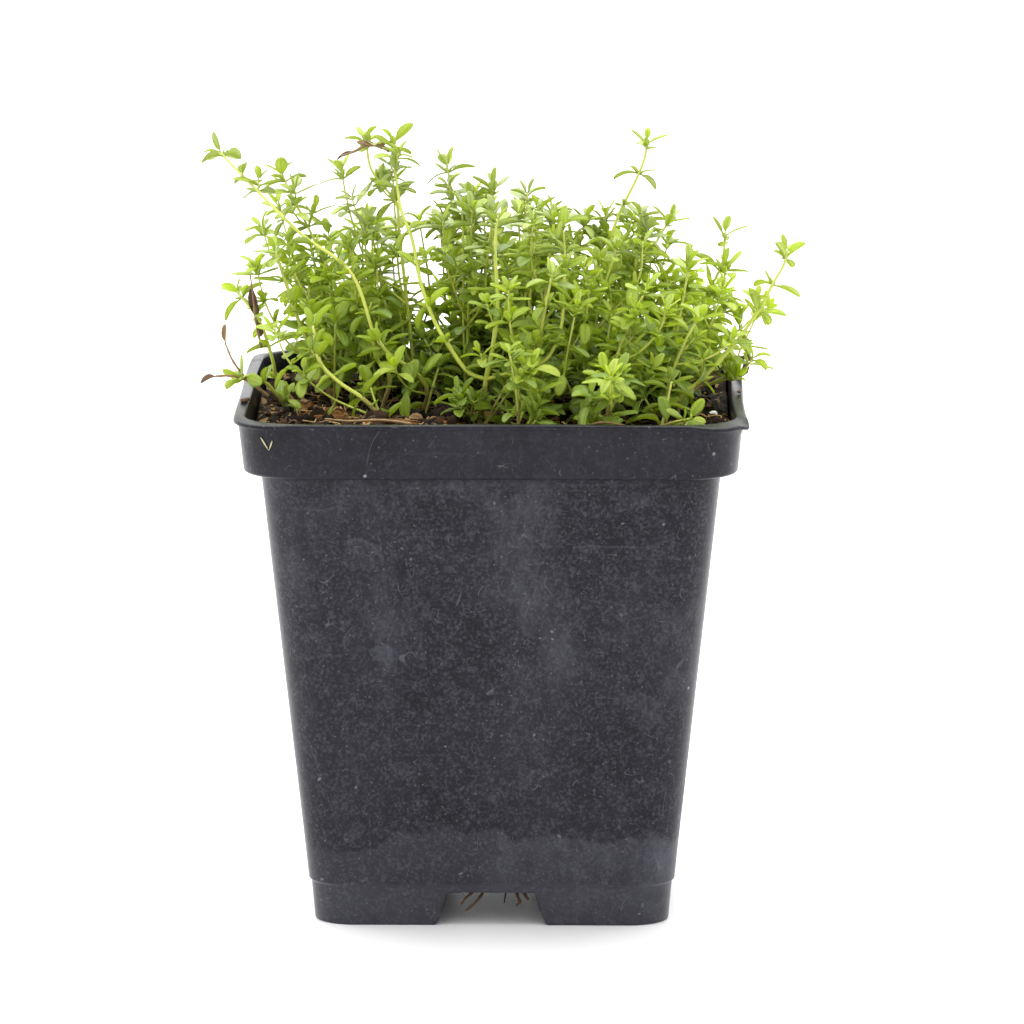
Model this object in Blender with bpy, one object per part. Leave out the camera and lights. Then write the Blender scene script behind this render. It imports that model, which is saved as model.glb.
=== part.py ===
"""Potted thyme: a square tapered plastic nursery pot, its soil, and the separate thyme sprigs standing in it.

The frame has its origin under the middle of the pot, on the surface the pot stands on, with +Z up and the
pot's front towards -Y. Every length below is in millimetres and is scaled to metres when a mesh is made.
"""

import math
import random

import bmesh
import bpy
from mathutils import Matrix, Vector
from mathutils.bvhtree import BVHTree

MM = 0.001
GAP = 0.35  # clearance kept between touching pieces

# Pot: half widths of the square, measured across the flats
POT_HEIGHT = 92.0
WALL = 1.0
FLANGE_HALF = 45.0
FLANGE_THICKNESS = 0.9
RIM_WIDTH = 2.1
BAND_TOP_HALF = 44.2
BAND_FOOT_HALF = 43.35
SHOULDER_Z = 82.1
BODY_TOP_HALF = 40.5
BODY_FOOT_HALF = 32.4
LEDGE_Z = 7.6
LEDGE_HEIGHT = 0.6
FOOT_TOP_HALF = 32.1
FOOT_HALF = 31.5
CORNER_SHARE = 0.225  # corner radius over half width
CORNER_STEPS = 5

FLOOR_UNDERSIDE_Z = 6.3
FLOOR_TOP_Z = FLOOR_UNDERSIDE_Z + WALL
NOTCH_HEIGHT = 5.9
NOTCH_TOP_HALF = 7.6
NOTCH_FOOT_HALF = 10.0
DRAIN_RADIUS = 3.0
DRAIN_OFFSET = 17.0

# Soil
SOIL_Z = 88.0
SOIL_RINGS = (37.0, 28.0, 19.0, 10.0)

# Sprigs
STEM_BASE_RADIUS = 0.65
STEM_TIP_RADIUS = 0.35
NODE_BAND = 0.8  # height of the band of stem that a pair of leaves grows from
LEAF_THICKNESS = 0.5
LEAF_WIDTH_SHARE = 0.46
CROWN_LEAF = 4.4
LOW_LEAF = 5.4
LOW_SHOOT_Z = 106.0  # shoots that end below this carry the larger low leaves
CROWN_TOP_Z = 125.0
GRID_PITCH = 12.5
GRID_COUNT = 6
TIP_BARE = 1.2  # bare stem above the last pair of leaves
STEM_TEST_RINGS = 25
SEED = 21

# Stems that stand out: the points that each one's centre line passes through, base first. The base's
# height comes from the soil.
STEMS = {
    "sprig_far_left": [
        (-20, -2, 88), (-18.5, -4, 94), (-21, -5, 98), (-22, -4.5, 104), (-26, 0, 113),
        (-35, 8, 118.5), (-45.7, 18, 127.5), (-50.2, 22, 131.5),
    ],
    "sprig_centre": [
        (-2.3, -19, 88), (-1.6, -19.5, 92), (-1, -20, 96.5), (0.2, -20, 102.5), (1, -18, 110),
        (0.5, -16, 118), (0.8, -14, 124),
    ],
    "sprig_tall_right": [
        (12, 0, 88), (13, 0, 98), (14.7, 0, 106), (17, 0, 111), (20, 0, 116.5), (22.4, 1, 123),
        (25.4, 2, 129), (27, 3, 133), (27.4, 3, 136),
    ],
    "sprig_right_rear": [
        (20, 11, 88), (22, 13, 102), (25.5, 15, 111.5), (28.7, 18, 115), (31.6, 20, 119.5),
    ],
    "sprig_right": [
        (31, 2, 88), (35, 3.5, 100), (38.4, 5, 108), (40, 7, 111), (41.1, 8, 113.6), (41.5, 10, 118.5),
    ],
    "sprig_far_right": [
        (33, -19, 88), (33.4, -20, 93), (37.5, -20, 96.8), (43, -19, 102.8), (47.2, -17, 108.4),
        (49.8, -15, 113), (51.6, -13, 115.8), (52.2, -12, 118),
    ],
    "sprig_low_right": [(16.8, -12, 88), (20, -14, 92.2), (22.8, -15, 94.5), (23.7, -16, 98.7), (23.5, -16, 101)],
    "sprig_low_centre": [(8, -20, 88), (7, -22, 93.5), (6.2, -25.5, 98.5), (6, -26, 102)],
    "sprig_front_left": [(-19, -20, 88), (-22.3, -21, 92.5), (-27.6, -20, 96.1), (-30.7, -18, 99.5), (-31.8, -15, 105)],
    "sprig_bent": [(-12.6, -4, 88), (-11.8, -6, 92.2), (-14.1, -7.5, 95.8), (-18, -8.5, 98.6), (-20.5, -8.5, 101.5)],
    "sprig_left": [(-29, 6, 88), (-33, 5, 98), (-35.5, 4, 104), (-37, 5, 108.5), (-39.4, 6, 115.5)],
    "sprig_left_rim": [(-35, -2, 88), (-38.8, -2, 93.5), (-39.5, -4, 97.2), (-41.4, -3, 103), (-43.3, -2, 106), (-46, 0, 109)],
    "sprig_trailing": [(-36, -10, 88), (-40, -12, 94), (-43, -14, 96), (-45, -15.5, 95.5)],
    "sprig_rear": [(-6, 18, 88), (-7, 20, 97), (-7.6, 22, 105.3), (-7.8, 24, 113), (-7.8, 26, 121), (-9, 28, 128.5)],
    "sprig_left_rear": [(-22, 14, 88), (-28, 18, 105), (-33.8, 22, 117), (-36.6, 24, 122), (-39, 26, 127)],
    "sprig_rear_centre": [(-1, 12, 88), (0, 15, 104), (-0.5, 18, 115), (-0.5, 20, 125.5)],
    "sprig_centre_left": [
        (-14, 8, 88), (-15.5, 6.5, 104), (-17, 6, 118), (-17.5, 6.5, 124), (-19.5, 8, 126.5),
        (-22.3, 10, 130), (-23.2, 12, 135),
    ],
    "sprig_inner_right": [(24, 6, 88), (25, 7, 108), (26.3, 8, 122)],
    "sprig_outer_right": [(30, -6, 88), (33, -5.5, 104), (35, -5, 115)],
    "sprig_back_right": [(16, 18, 88), (18, 21, 106), (20, 25, 120)],
    "sprig_back_centre": [(4.5, 17, 88), (5.5, 20, 108), (5.7, 22, 124)],
}

# Side shoots that leave one of those stems low down and reach the crown themselves
BRANCHES = {
    "sprig_centre": [
        [
            (-1, -20, 96.3), (-4.4, -19.2, 97.6), (-8, -17, 102.3), (-10.4, -14, 106), (-12.8, -10, 112),
            (-14.5, -4, 119), (-16.6, 0, 124), (-17.9, 7, 131), (-18.2, 10, 135),
        ],
        [
            (-1, -20, 96.3), (1.6, -21, 97.2), (5.9, -22, 98.5), (9.8, -22, 100.4), (12.2, -20.5, 105.7),
            (12.7, -18, 112), (12.8, -14, 117.5), (12.3, -10, 123),
        ],
    ],
}

# Bark chips and perlite grains on the soil: middle x and y, length, width, height and turn in degrees
CHIPS = {
    "bark_chip_1": (-30.0, -19.0, 13.0, 3.2, 1.6, 12),
    "bark_chip_2": (-29.0, -8.5, 9.0, 3.0, 1.4, -24),
    "bark_chip_3": (-12.0, -16.0, 8.0, 3.4, 1.5, 8),
    "bark_chip_4": (33.0, 33.0, 10.0, 3.0, 1.5, 40),
    "perlite_grain_1": (39.2, -13.0, 2.4, 2.1, 1.8, 20),
    "perlite_grain_2": (-24.5, 37.5, 2.6, 2.2, 1.8, 65),
}

# Colours, roughness and metallic value of each material
LOOKS = {
    "plastic": ((0.045, 0.044, 0.052), 0.42),
    "soil": ((0.035, 0.022, 0.014), 0.95),
    "thyme": ((0.16, 0.34, 0.05), 0.55),
    "bark": ((0.20, 0.10, 0.05), 0.85),
    "perlite": ((0.75, 0.74, 0.70), 0.80),
}


def clear_scene():
    for thing in list(bpy.data.objects):
        bpy.data.objects.remove(thing)


def make_collection(name):
    collection = bpy.data.collections.new(name)
    bpy.context.scene.collection.children.link(collection)
    return collection


def make_material(name):
    colour, roughness = LOOKS[name]
    material = bpy.data.materials.new(name)
    material.use_nodes = True
    shader = material.node_tree.nodes["Principled BSDF"]
    shader.inputs["Base Color"].default_value = (*colour, 1.0)
    shader.inputs["Roughness"].default_value = roughness
    shader.inputs["Metallic"].default_value = 0.0
    return material


def make_object(name, bm, material, collection):
    """Closes off a mesh modelled in millimetres as an object in metres."""
    bmesh.ops.recalc_face_normals(bm, faces=bm.faces[:])
    bmesh.ops.scale(bm, vec=(MM, MM, MM), verts=bm.verts[:])
    mesh = bpy.data.meshes.new(name)
    bm.to_mesh(mesh)
    bm.free()
    thing = bpy.data.objects.new(name, mesh)
    if material:
        mesh.materials.append(material)
    collection.objects.link(thing)
    return thing


def add_boolean(thing, tool, operation):
    tool.hide_render = True
    tool.display_type = "WIRE"
    boolean = thing.modifiers.new(tool.name, "BOOLEAN")
    boolean.operation = operation
    boolean.solver = "EXACT"
    boolean.object = tool


# Lofting: a mesh grows from a ring of corners, which keep their order


def start_ring(bm, corners):
    """The first ring, closed by a face."""
    ring = [bm.verts.new(corner) for corner in corners]
    bm.faces.new(ring)
    return ring


def extrude_ring(bm, ring, corners):
    """Extrudes a ring's edges and puts each new corner on its own target; returns the new ring."""
    edges = [bm.edges.get(pair) for pair in zip(ring, ring[1:] + ring[:1])]
    grown = bmesh.ops.extrude_edge_only(bm, edges=edges)["geom"]
    at = {tuple(vert.co): vert for vert in grown if isinstance(vert, bmesh.types.BMVert)}
    new_ring = [at[tuple(vert.co)] for vert in ring]
    for vert, corner in zip(new_ring, corners):
        vert.co = corner
    return new_ring


def rounded_square(half, height):
    """Corners of a level square with rounded corners; height is a number or a function of x and y."""
    radius = CORNER_SHARE * half
    corners = []
    for quarter in range(4):
        middle = math.radians(45 + 90 * quarter)
        cx = math.copysign(half - radius, math.cos(middle))
        cy = math.copysign(half - radius, math.sin(middle))
        for step in range(CORNER_STEPS + 1):
            angle = math.radians(90 * (quarter + step / CORNER_STEPS))
            x, y = cx + radius * math.cos(angle), cy + radius * math.sin(angle)
            z = height(x, y) if callable(height) else height
            corners.append(Vector((x, y, z)))
    return corners


def square_loft(sections):
    """A closed body through rounded squares, given as half width and height."""
    bm = bmesh.new()
    ring = start_ring(bm, rounded_square(*sections[0]))
    for section in sections[1:]:
        ring = extrude_ring(bm, ring, rounded_square(*section))
    bm.faces.new(ring)
    return bm


# Pot


def inner_half(z):
    """Half width of the pot's inside at a height of its body."""
    rise = (z - LEDGE_Z) / (SHOULDER_Z - LEDGE_Z)
    return BODY_FOOT_HALF + (BODY_TOP_HALF - BODY_FOOT_HALF) * rise - WALL


def make_notch_cutter(name, turn, collection):
    """A bar with slanting sides, as long as the foot is wide and more, which cuts two facing notches."""
    flare = (NOTCH_FOOT_HALF - NOTCH_TOP_HALF) / NOTCH_HEIGHT
    below = 1.0
    bm = bmesh.new()
    bmesh.ops.create_cube(bm, size=2.0)
    for vert in bm.verts:
        top = vert.co.z > 0
        half = NOTCH_TOP_HALF if top else NOTCH_FOOT_HALF + flare * below
        across = half * vert.co.x
        along = (FOOT_TOP_HALF + 4 * WALL) * vert.co.y
        z = NOTCH_HEIGHT if top else -below
        vert.co = (along, across, z) if turn else (across, along, z)
    return make_object(name, bm, None, collection)


def make_drain_cutter(name, x, y, collection):
    bm = bmesh.new()
    bmesh.ops.create_cone(bm, cap_ends=True, segments=12, radius1=DRAIN_RADIUS, radius2=DRAIN_RADIUS, depth=4 * WALL)
    bmesh.ops.translate(bm, vec=(x, y, FLOOR_UNDERSIDE_Z + WALL / 2), verts=bm.verts[:])
    return make_object(name, bm, None, collection)


def make_pot(material, collection, cutters):
    rim_inner = FLANGE_HALF - RIM_WIDTH
    sections = [
        (FOOT_TOP_HALF - WALL, FLOOR_UNDERSIDE_Z),
        (FOOT_HALF - WALL, 0.0),
        (FOOT_HALF, 0.0),
        (FOOT_TOP_HALF, LEDGE_Z - LEDGE_HEIGHT),
        (BODY_FOOT_HALF, LEDGE_Z),
        (BODY_TOP_HALF, SHOULDER_Z),
        (BAND_FOOT_HALF, SHOULDER_Z),
        (BAND_TOP_HALF, POT_HEIGHT - FLANGE_THICKNESS),
        (FLANGE_HALF, POT_HEIGHT - FLANGE_THICKNESS),
        (FLANGE_HALF, POT_HEIGHT),
        (rim_inner, POT_HEIGHT),
        (BAND_FOOT_HALF - WALL, SHOULDER_Z + WALL),
        (BODY_TOP_HALF - WALL, SHOULDER_Z + WALL),
        (inner_half(FLOOR_TOP_Z), FLOOR_TOP_Z),
    ]
    pot = make_object("pot", square_loft(sections), material, collection)
    for name, turn in (("notch_front_back", False), ("notch_left_right", True)):
        add_boolean(pot, make_notch_cutter(name, turn, cutters), "DIFFERENCE")
    places = [(0.0, 0.0)] + [(sx * DRAIN_OFFSET, sy * DRAIN_OFFSET) for sx in (-1, 1) for sy in (-1, 1)]
    for number, (x, y) in enumerate(places, 1):
        add_boolean(pot, make_drain_cutter(f"drain_{number}", x, y, cutters), "DIFFERENCE")
    return pot


# Soil


def ground(x, y):
    """Height of the soil's uneven top."""
    swell = 0.7 * math.sin(x / 9 + 0.6) * math.cos(y / 11 - 0.4)
    return SOIL_Z + swell + 0.4 * math.sin(x / 4.3 - y / 5.1)


def make_soil(material, collection):
    shoulder = SHOULDER_Z + WALL + GAP
    band_inner = BAND_FOOT_HALF - WALL - GAP
    sections = [
        (inner_half(FLOOR_TOP_Z) - GAP, FLOOR_TOP_Z + GAP),
        (BODY_TOP_HALF - WALL - GAP, shoulder),
        (band_inner, shoulder),
        (band_inner, ground),
    ]
    sections += [(half, ground) for half in SOIL_RINGS]
    return make_object("soil", square_loft(sections), material, collection)


def height_at(bed, x, y, reach=0.0):
    """Height of the soil's surface, the highest one within a reach of a place."""
    places = [(x + reach * i, y + reach * j) for i in (-1, 0, 1) for j in (-1, 0, 1)]
    return max(bed.ray_cast(Vector((px, py, 2 * SOIL_Z)), Vector((0, 0, -1)))[0].z for px, py in places)


def make_chip(name, x, y, length, width, height, turn, bed, material, collection):
    """An irregular rounded lump lying on the soil."""
    rng = random.Random(name)
    bm = bmesh.new()
    bmesh.ops.create_icosphere(bm, subdivisions=1, radius=1.0)
    for vert in bm.verts:
        swell = rng.uniform(0.85, 1.0)
        vert.co = (vert.co.x * swell * length / 2, vert.co.y * swell * width / 2, height * (vert.co.z + 1) / 2)
    bmesh.ops.rotate(bm, cent=(0, 0, 0), matrix=Matrix.Rotation(math.radians(turn), 3, "Z"), verts=bm.verts[:])
    floor = max(height_at(bed, x + vert.co.x, y + vert.co.y, 1.0) for vert in bm.verts)
    bmesh.ops.translate(bm, vec=(x, y, floor + GAP), verts=bm.verts[:])
    return make_object(name, bm, material, collection)


# Sprigs


def smooth_path(points, steps=4):
    """Points along a Catmull-Rom curve through the given points."""
    points = [Vector(point) for point in points]
    ends = [2 * points[0] - points[1], *points, 2 * points[-1] - points[-2]]
    path = []
    for p0, p1, p2, p3 in zip(ends, ends[1:], ends[2:], ends[3:]):
        for step in range(steps):
            t = step / steps
            bend = (2 * p0 - 5 * p1 + 4 * p2 - p3) * t * t + (3 * p1 - p0 - 3 * p2 + p3) * t ** 3
            path.append(p1 + 0.5 * ((p2 - p0) * t + bend))
    return path + [points[-1]]


class Stem:
    """A centre line that can be asked for the place and frame at any share of its length."""

    def __init__(self, points, twist):
        self.path = smooth_path(points)
        self.reach = [0.0]
        for here, there in zip(self.path, self.path[1:]):
            self.reach.append(self.reach[-1] + (there - here).length)
        self.length = self.reach[-1]
        self.twist = twist

    def place(self, distance):
        distance = min(max(distance, 0.0), self.length)
        index = next(i for i, reach in enumerate(self.reach) if reach >= distance) or 1
        start, end = self.reach[index - 1], self.reach[index]
        return self.path[index - 1].lerp(self.path[index], (distance - start) / (end - start))

    def frame(self, distance):
        """The stem's direction and its two sides."""
        along = (self.place(distance + 0.8) - self.place(distance - 0.8)).normalized()
        ahead = Vector((math.cos(self.twist), math.sin(self.twist), 0.0))
        side = (ahead - along * ahead.dot(along)).normalized()
        return along, side, along.cross(side)

    def radius(self, distance):
        return STEM_BASE_RADIUS + (STEM_TIP_RADIUS - STEM_BASE_RADIUS) * distance / self.length

    def corners(self, distance, swell=0.0):
        along, side, lift = self.frame(distance)
        size = self.radius(distance) + swell
        middle = self.place(distance)
        return [
            middle + size * (math.cos(angle) * side + math.sin(angle) * lift)
            for angle in (math.radians(45 + 90 * quarter) for quarter in range(4))
        ]


def quads_between(count, start):
    """The faces between a ring of points and the next ring, by their numbers."""
    pairs = [(start + i, start + (i + 1) % count) for i in range(count)]
    return [(a, b, b + count, a + count) for a, b in pairs]


def stem_tree(stem, swell=0.0):
    """The stem's surface, swollen by a clearance, for testing against what stands already."""
    points, faces = [], []
    for number in range(STEM_TEST_RINGS):
        points += stem.corners(stem.length * number / (STEM_TEST_RINGS - 1), swell)
        if number:
            faces += quads_between(4, 4 * (number - 1))
    return BVHTree.FromPolygons(points, faces)


class Leaf:
    """A flat leaf: its four root corners on the stem, four across its widest part, and a tip."""

    def __init__(self, stem, distance, turn, length, spread):
        along, side, lift = stem.frame(distance)
        out = math.cos(turn) * side + math.sin(turn) * lift
        self.out = (out * math.sin(spread) + along * math.cos(spread)).normalized()
        self.across = along.cross(out).normalized()
        self.up = self.across.cross(self.out).normalized()
        self.root = stem.place(distance) + out * stem.radius(distance) * 0.7
        self.length = length

    def middle(self, swell=0.0):
        half = LEAF_WIDTH_SHARE * self.length / 2 + swell
        thick = LEAF_THICKNESS / 2 + swell
        centre = self.root + self.out * 0.5 * self.length
        return centre, half, thick

    def tip(self, swell=0.0):
        return self.root + self.out * (self.length + swell)

    def tree(self):
        centre, half, thick = self.middle(GAP)
        start = self.root + self.out * 0.12 * self.length
        ring = [(1, 1), (-1, 1), (-1, -1), (1, -1)]
        points = [start + self.across * a * 0.5 + self.up * b * 0.4 for a, b in ring]
        points += [centre + self.across * a * half + self.up * b * thick for a, b in ring]
        points.append(self.tip(GAP))
        faces = quads_between(4, 0) + [(4 + i, 4 + (i + 1) % 4, 8) for i in range(4)]
        return BVHTree.FromPolygons(points, faces)


def grow_leaf(bm, face, leaf):
    """Extrudes one side of the stem into a leaf."""
    centre, half, thick = leaf.middle()
    ring = list(face.verts)
    hub = face.calc_center_median()
    targets = []
    for vert in ring:
        reach = vert.co - hub
        across = math.copysign(half, reach.dot(leaf.across))
        up = math.copysign(thick, reach.dot(leaf.up))
        targets.append(centre + leaf.across * across + leaf.up * up)
    bmesh.ops.delete(bm, geom=[face], context="FACES_ONLY")
    end = bm.faces.new(extrude_ring(bm, ring, targets))
    point = bmesh.ops.poke(bm, faces=[end])["verts"][0]
    point.co = leaf.tip()


def grow_stem(stem, leaves):
    """A square stem with its leaves; leaves are given by the distance along the stem and the side they leave."""
    bands = sorted({distance for distance, _ in leaves})
    stations = {0.0, stem.length}
    for distance in bands:
        stations |= {distance - NODE_BAND / 2, distance + NODE_BAND / 2}
    steps = max(4, round(stem.length / 7))
    for step in range(1, steps):
        distance = stem.length * step / steps
        if all(abs(distance - other) > 1.6 for other in stations):
            stations.add(distance)
    stations = sorted(stations)
    bm = bmesh.new()
    ring = start_ring(bm, stem.corners(0.0))
    sides = {}
    for below, above in zip(stations, stations[1:]):
        old, ring = ring, extrude_ring(bm, ring, stem.corners(above))
        for band in bands:
            if abs((below + above) / 2 - band) < 1e-6:
                for side in range(4):
                    sides[band, side] = bm.faces.get((old[side - 1], old[side], ring[side], ring[side - 1]))
    bm.faces.new(ring)
    for (band, side), leaf in leaves.items():
        grow_leaf(bm, sides[band, side], leaf)
    return bm


def choose_leaves(stem, rng, standing, first, pitch, size):
    """Pairs of leaves up the stem, each pair a quarter turn on from the last, left out where they would touch."""
    leaves = {}
    last = stem.length - TIP_BARE
    count = max(1, int((last - first) / pitch))
    for number in range(count + 1):
        distance = first + (last - first) * number / count
        share = distance / stem.length
        for side in ((0, 2) if number % 2 else (1, 3)):
            spread = math.radians(rng.uniform(58, 74) * (1 - 0.25 * share ** 6))
            for shrink in (1.0, 0.75):
                leaf = Leaf(stem, distance, math.radians(90 * side), size * shrink * rng.uniform(0.88, 1.05), spread)
                tree = leaf.tree()
                if not any(tree.overlap(other) for other in standing):
                    leaves[distance, side] = leaf
                    standing.append(tree)
                    break
    return leaves


def tree_of(thing):
    depsgraph = bpy.context.evaluated_depsgraph_get()
    mesh = thing.evaluated_get(depsgraph).to_mesh()
    points = [thing.matrix_world @ vert.co / MM for vert in mesh.vertices]
    return BVHTree.FromPolygons(points, [list(face.vertices) for face in mesh.polygons])


def plant_stems(bed, pot):
    """The stems by name, each with its side shoots; one that would touch the pot or an earlier stem is left out."""
    planted = {}
    standing = [pot]
    for name, points in {**STEMS, **filler_stems()}.items():
        rng = random.Random(f"{SEED} {name}")
        x, y, _ = points[0]
        foot = (x, y, height_at(bed, x, y, STEM_BASE_RADIUS) + 2 * GAP)
        lines = [[foot, *points[1:]], *BRANCHES.get(name, ())]
        stems = [Stem(line, rng.uniform(0, math.pi)) for line in lines]
        touching = [stem_tree(stem, GAP).overlap(other) for stem in stems for other in standing]
        if any(touching):
            continue
        planted[name] = stems
        standing += [stem_tree(stem) for stem in stems]
    return planted


def make_sprig(name, stems, standing, material, collection, cutters):
    """One stem with its leaves, and any side shoots united with it."""
    rng = random.Random(f"{SEED} {name} leaves")
    for number, stem in enumerate(stems):
        first = min(0.45 * stem.length, 11.0) if number == 0 else 8.0
        size = CROWN_LEAF if stem.place(stem.length).z > LOW_SHOOT_Z else LOW_LEAF
        others = [tree for owner, tree in standing if owner is not stem]
        already = len(others)
        leaves = choose_leaves(stem, rng, others, first, rng.uniform(5.6, 6.8), size)
        standing += [(None, tree) for tree in others[already:]]
        bm = grow_stem(stem, leaves)
        if number == 0:
            sprig = make_object(name, bm, material, collection)
        else:
            add_boolean(sprig, make_object(f"{name}_shoot_{number}", bm, None, cutters), "UNION")


def crown_height(x, y):
    """Height of the leafy crown over a place: a dome, flat in the middle."""
    fall = (abs(x + 2) / 56) ** 3.2 + (abs(y - 4) / 50) ** 3.0
    return SOIL_Z + (CROWN_TOP_Z - SOIL_Z) * max(0.25, 1 - fall)


def filler_stems():
    """Stems that fill the pot: one from each cell of a grid, leaning outwards, none on the bare front left."""
    rng = random.Random(SEED)
    stems = {}
    number = 0
    for row in range(GRID_COUNT):
        for column in range(GRID_COUNT):
            x = (column - (GRID_COUNT - 1) / 2) * GRID_PITCH + rng.uniform(-2.5, 2.5)
            y = (row - (GRID_COUNT - 1) / 2) * GRID_PITCH + rng.uniform(-2.5, 2.5)
            lean_x, lean_y = rng.uniform(-3, 3), rng.uniform(-3, 3)
            drop = rng.uniform(0, 7)
            if x < -4 and y < -4:
                continue
            number += 1
            tip_x, tip_y = 1.22 * x + lean_x, 1.14 * y + lean_y
            top = crown_height(tip_x, tip_y) - drop
            stems[f"sprig_{number:02d}"] = [
                (x, y, SOIL_Z),
                (x + 0.1 * (tip_x - x), y + 0.1 * (tip_y - y), SOIL_Z + 0.35 * (top - SOIL_Z)),
                (x + 0.5 * (tip_x - x), y + 0.5 * (tip_y - y), SOIL_Z + 0.7 * (top - SOIL_Z)),
                (tip_x, tip_y, top),
            ]
    return stems


def main():
    clear_scene()
    parts = make_collection("potted_thyme")
    cutters = make_collection("cutters")
    plastic, soil, thyme, bark, perlite = (make_material(name) for name in LOOKS)
    pot = make_pot(plastic, parts, cutters)
    soil_bed = make_soil(soil, parts)
    bpy.context.view_layer.update()
    bed = tree_of(soil_bed)
    chips = [
        make_chip(name, *place, bed, bark if name.startswith("bark") else perlite, parts)
        for name, place in CHIPS.items()
    ]
    bpy.context.view_layer.update()
    planted = plant_stems(bed, tree_of(pot))
    standing = [(None, tree_of(thing)) for thing in (pot, soil_bed, *chips)]
    standing += [(stem, stem_tree(stem)) for stems in planted.values() for stem in stems]
    for name, stems in planted.items():
        make_sprig(name, stems, standing, thyme, parts, cutters)


main()
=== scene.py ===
"""Potted thyme: the finished look of the pot, its soil and its sprigs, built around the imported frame.

Shapes are worked out in millimetres, with the origin under the middle of the pot, +Z up and the pot's front
towards -Y, and are scaled to metres when a mesh is made.
"""

import math
import random
from collections import namedtuple

import bpy
import numpy as np
from mathutils import Matrix, Vector


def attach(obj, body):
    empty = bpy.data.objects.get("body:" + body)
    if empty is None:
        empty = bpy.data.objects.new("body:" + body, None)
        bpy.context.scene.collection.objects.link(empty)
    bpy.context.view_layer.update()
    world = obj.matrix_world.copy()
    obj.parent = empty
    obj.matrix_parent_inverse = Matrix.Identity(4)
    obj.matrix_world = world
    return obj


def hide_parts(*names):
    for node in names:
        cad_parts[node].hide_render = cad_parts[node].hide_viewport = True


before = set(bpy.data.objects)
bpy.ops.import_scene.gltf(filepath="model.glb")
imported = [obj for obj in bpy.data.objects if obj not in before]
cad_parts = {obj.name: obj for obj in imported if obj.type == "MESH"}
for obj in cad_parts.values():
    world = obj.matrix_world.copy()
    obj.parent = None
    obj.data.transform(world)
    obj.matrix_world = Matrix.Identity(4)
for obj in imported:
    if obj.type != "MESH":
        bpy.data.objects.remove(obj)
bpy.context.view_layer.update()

MM = 0.001
SEED = 21

# Pot: half widths of the square, measured across the flats, and heights
POT_HEIGHT = 92.0
WALL = 1.0
FLANGE_HALF = 45.0
FLANGE_THICKNESS = 0.9
RIM_WIDTH = 2.1
BAND_TOP_HALF = 44.2
BAND_FOOT_HALF = 43.35
SHOULDER_Z = 82.1
BODY_TOP_HALF = 40.5
BODY_FOOT_HALF = 32.4
LEDGE_Z = 7.6
LEDGE_HEIGHT = 0.6
FOOT_TOP_HALF = 32.1
FOOT_HALF = 31.5
CORNER_SHARE = 0.225
FLOOR_UNDERSIDE_Z = 6.3
FLOOR_TOP_Z = FLOOR_UNDERSIDE_Z + WALL
NOTCH_HEIGHT = 5.9
NOTCH_TOP_HALF = 7.6
NOTCH_FOOT_HALF = 10.0
DRAIN_RADIUS = 3.0
DRAIN_OFFSET = 17.0
CORNER_STEPS = 15
MOST_STEP = 2.6  # longest stretch between rings of the pot's profile
BAND_SHOWS_Z = (81.0, 82.0)  # heights between which the plastic's look changes from body to band
TIDE_Z = 30.0

# Soil: heights, half widths, and the x and y ranges over which crumbs are strewn
SOIL_Z = 88.0
SOIL_HALF = 42.0
SOIL_SIDES = [(6.0, 7.7), (31.0, 7.7), (39.1, 83.3), (SOIL_HALF, 83.6)]
SOIL_RINGS = 100
SOIL_COLUMNS = 420
SOIL_REGION = ((-40.0, 40.0), (-40.0, 40.0))
BARE_CORNER = ((-39.0, -4.0), (-39.0, -14.0))

# Sprigs
CROWN_TOP_Z = 125.0
CROWN_SHEEN_Z = 108.0  # height from which leaves carry a painted grey sheen
GRID_PITCH = 12.5
GRID_COUNT = 6
ROOT_DEPTH = 3.0
STEM_COLUMNS = 6
# From a shoot's tip down: distances of the three close leaf pairs, then their size, angle from the stem and youth
ROSETTE_GAPS = (0.1, 0.75, 1.7)
ROSETTE = ((0.66, 26, 0.85), (0.92, 54, 0.55), (1.05, 72, 0.35))
# A leaf low down that is rooted inside the second distance points up where its tip would pass the first
WALL_CLEARANCE = (40.5, 46.5)

# Studio: where the overhead light comes from, its power and its width in degrees; the room's strength at the
# front and how much it gains towards the back
SUN_FROM = (-0.15, 0.22, 1.0)
SUN_POWER = 3.2
SUN_WIDTH = 75
ROOM_STRENGTH = 1.25
ROOM_GAIN = 0.85
FLOOR_SIZE = 20.0

# Camera
LENS_MM = 274.2
SENSOR_MM = 36.0
VIEW_TURN = math.radians(0.8)
VIEW_PITCH = math.radians(9.872)
VIEW_DISTANCE = 1403.9
AIM_HEIGHT = 70.0
AIM_RIGHT = 3.263
AIM_UP = -0.966

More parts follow.
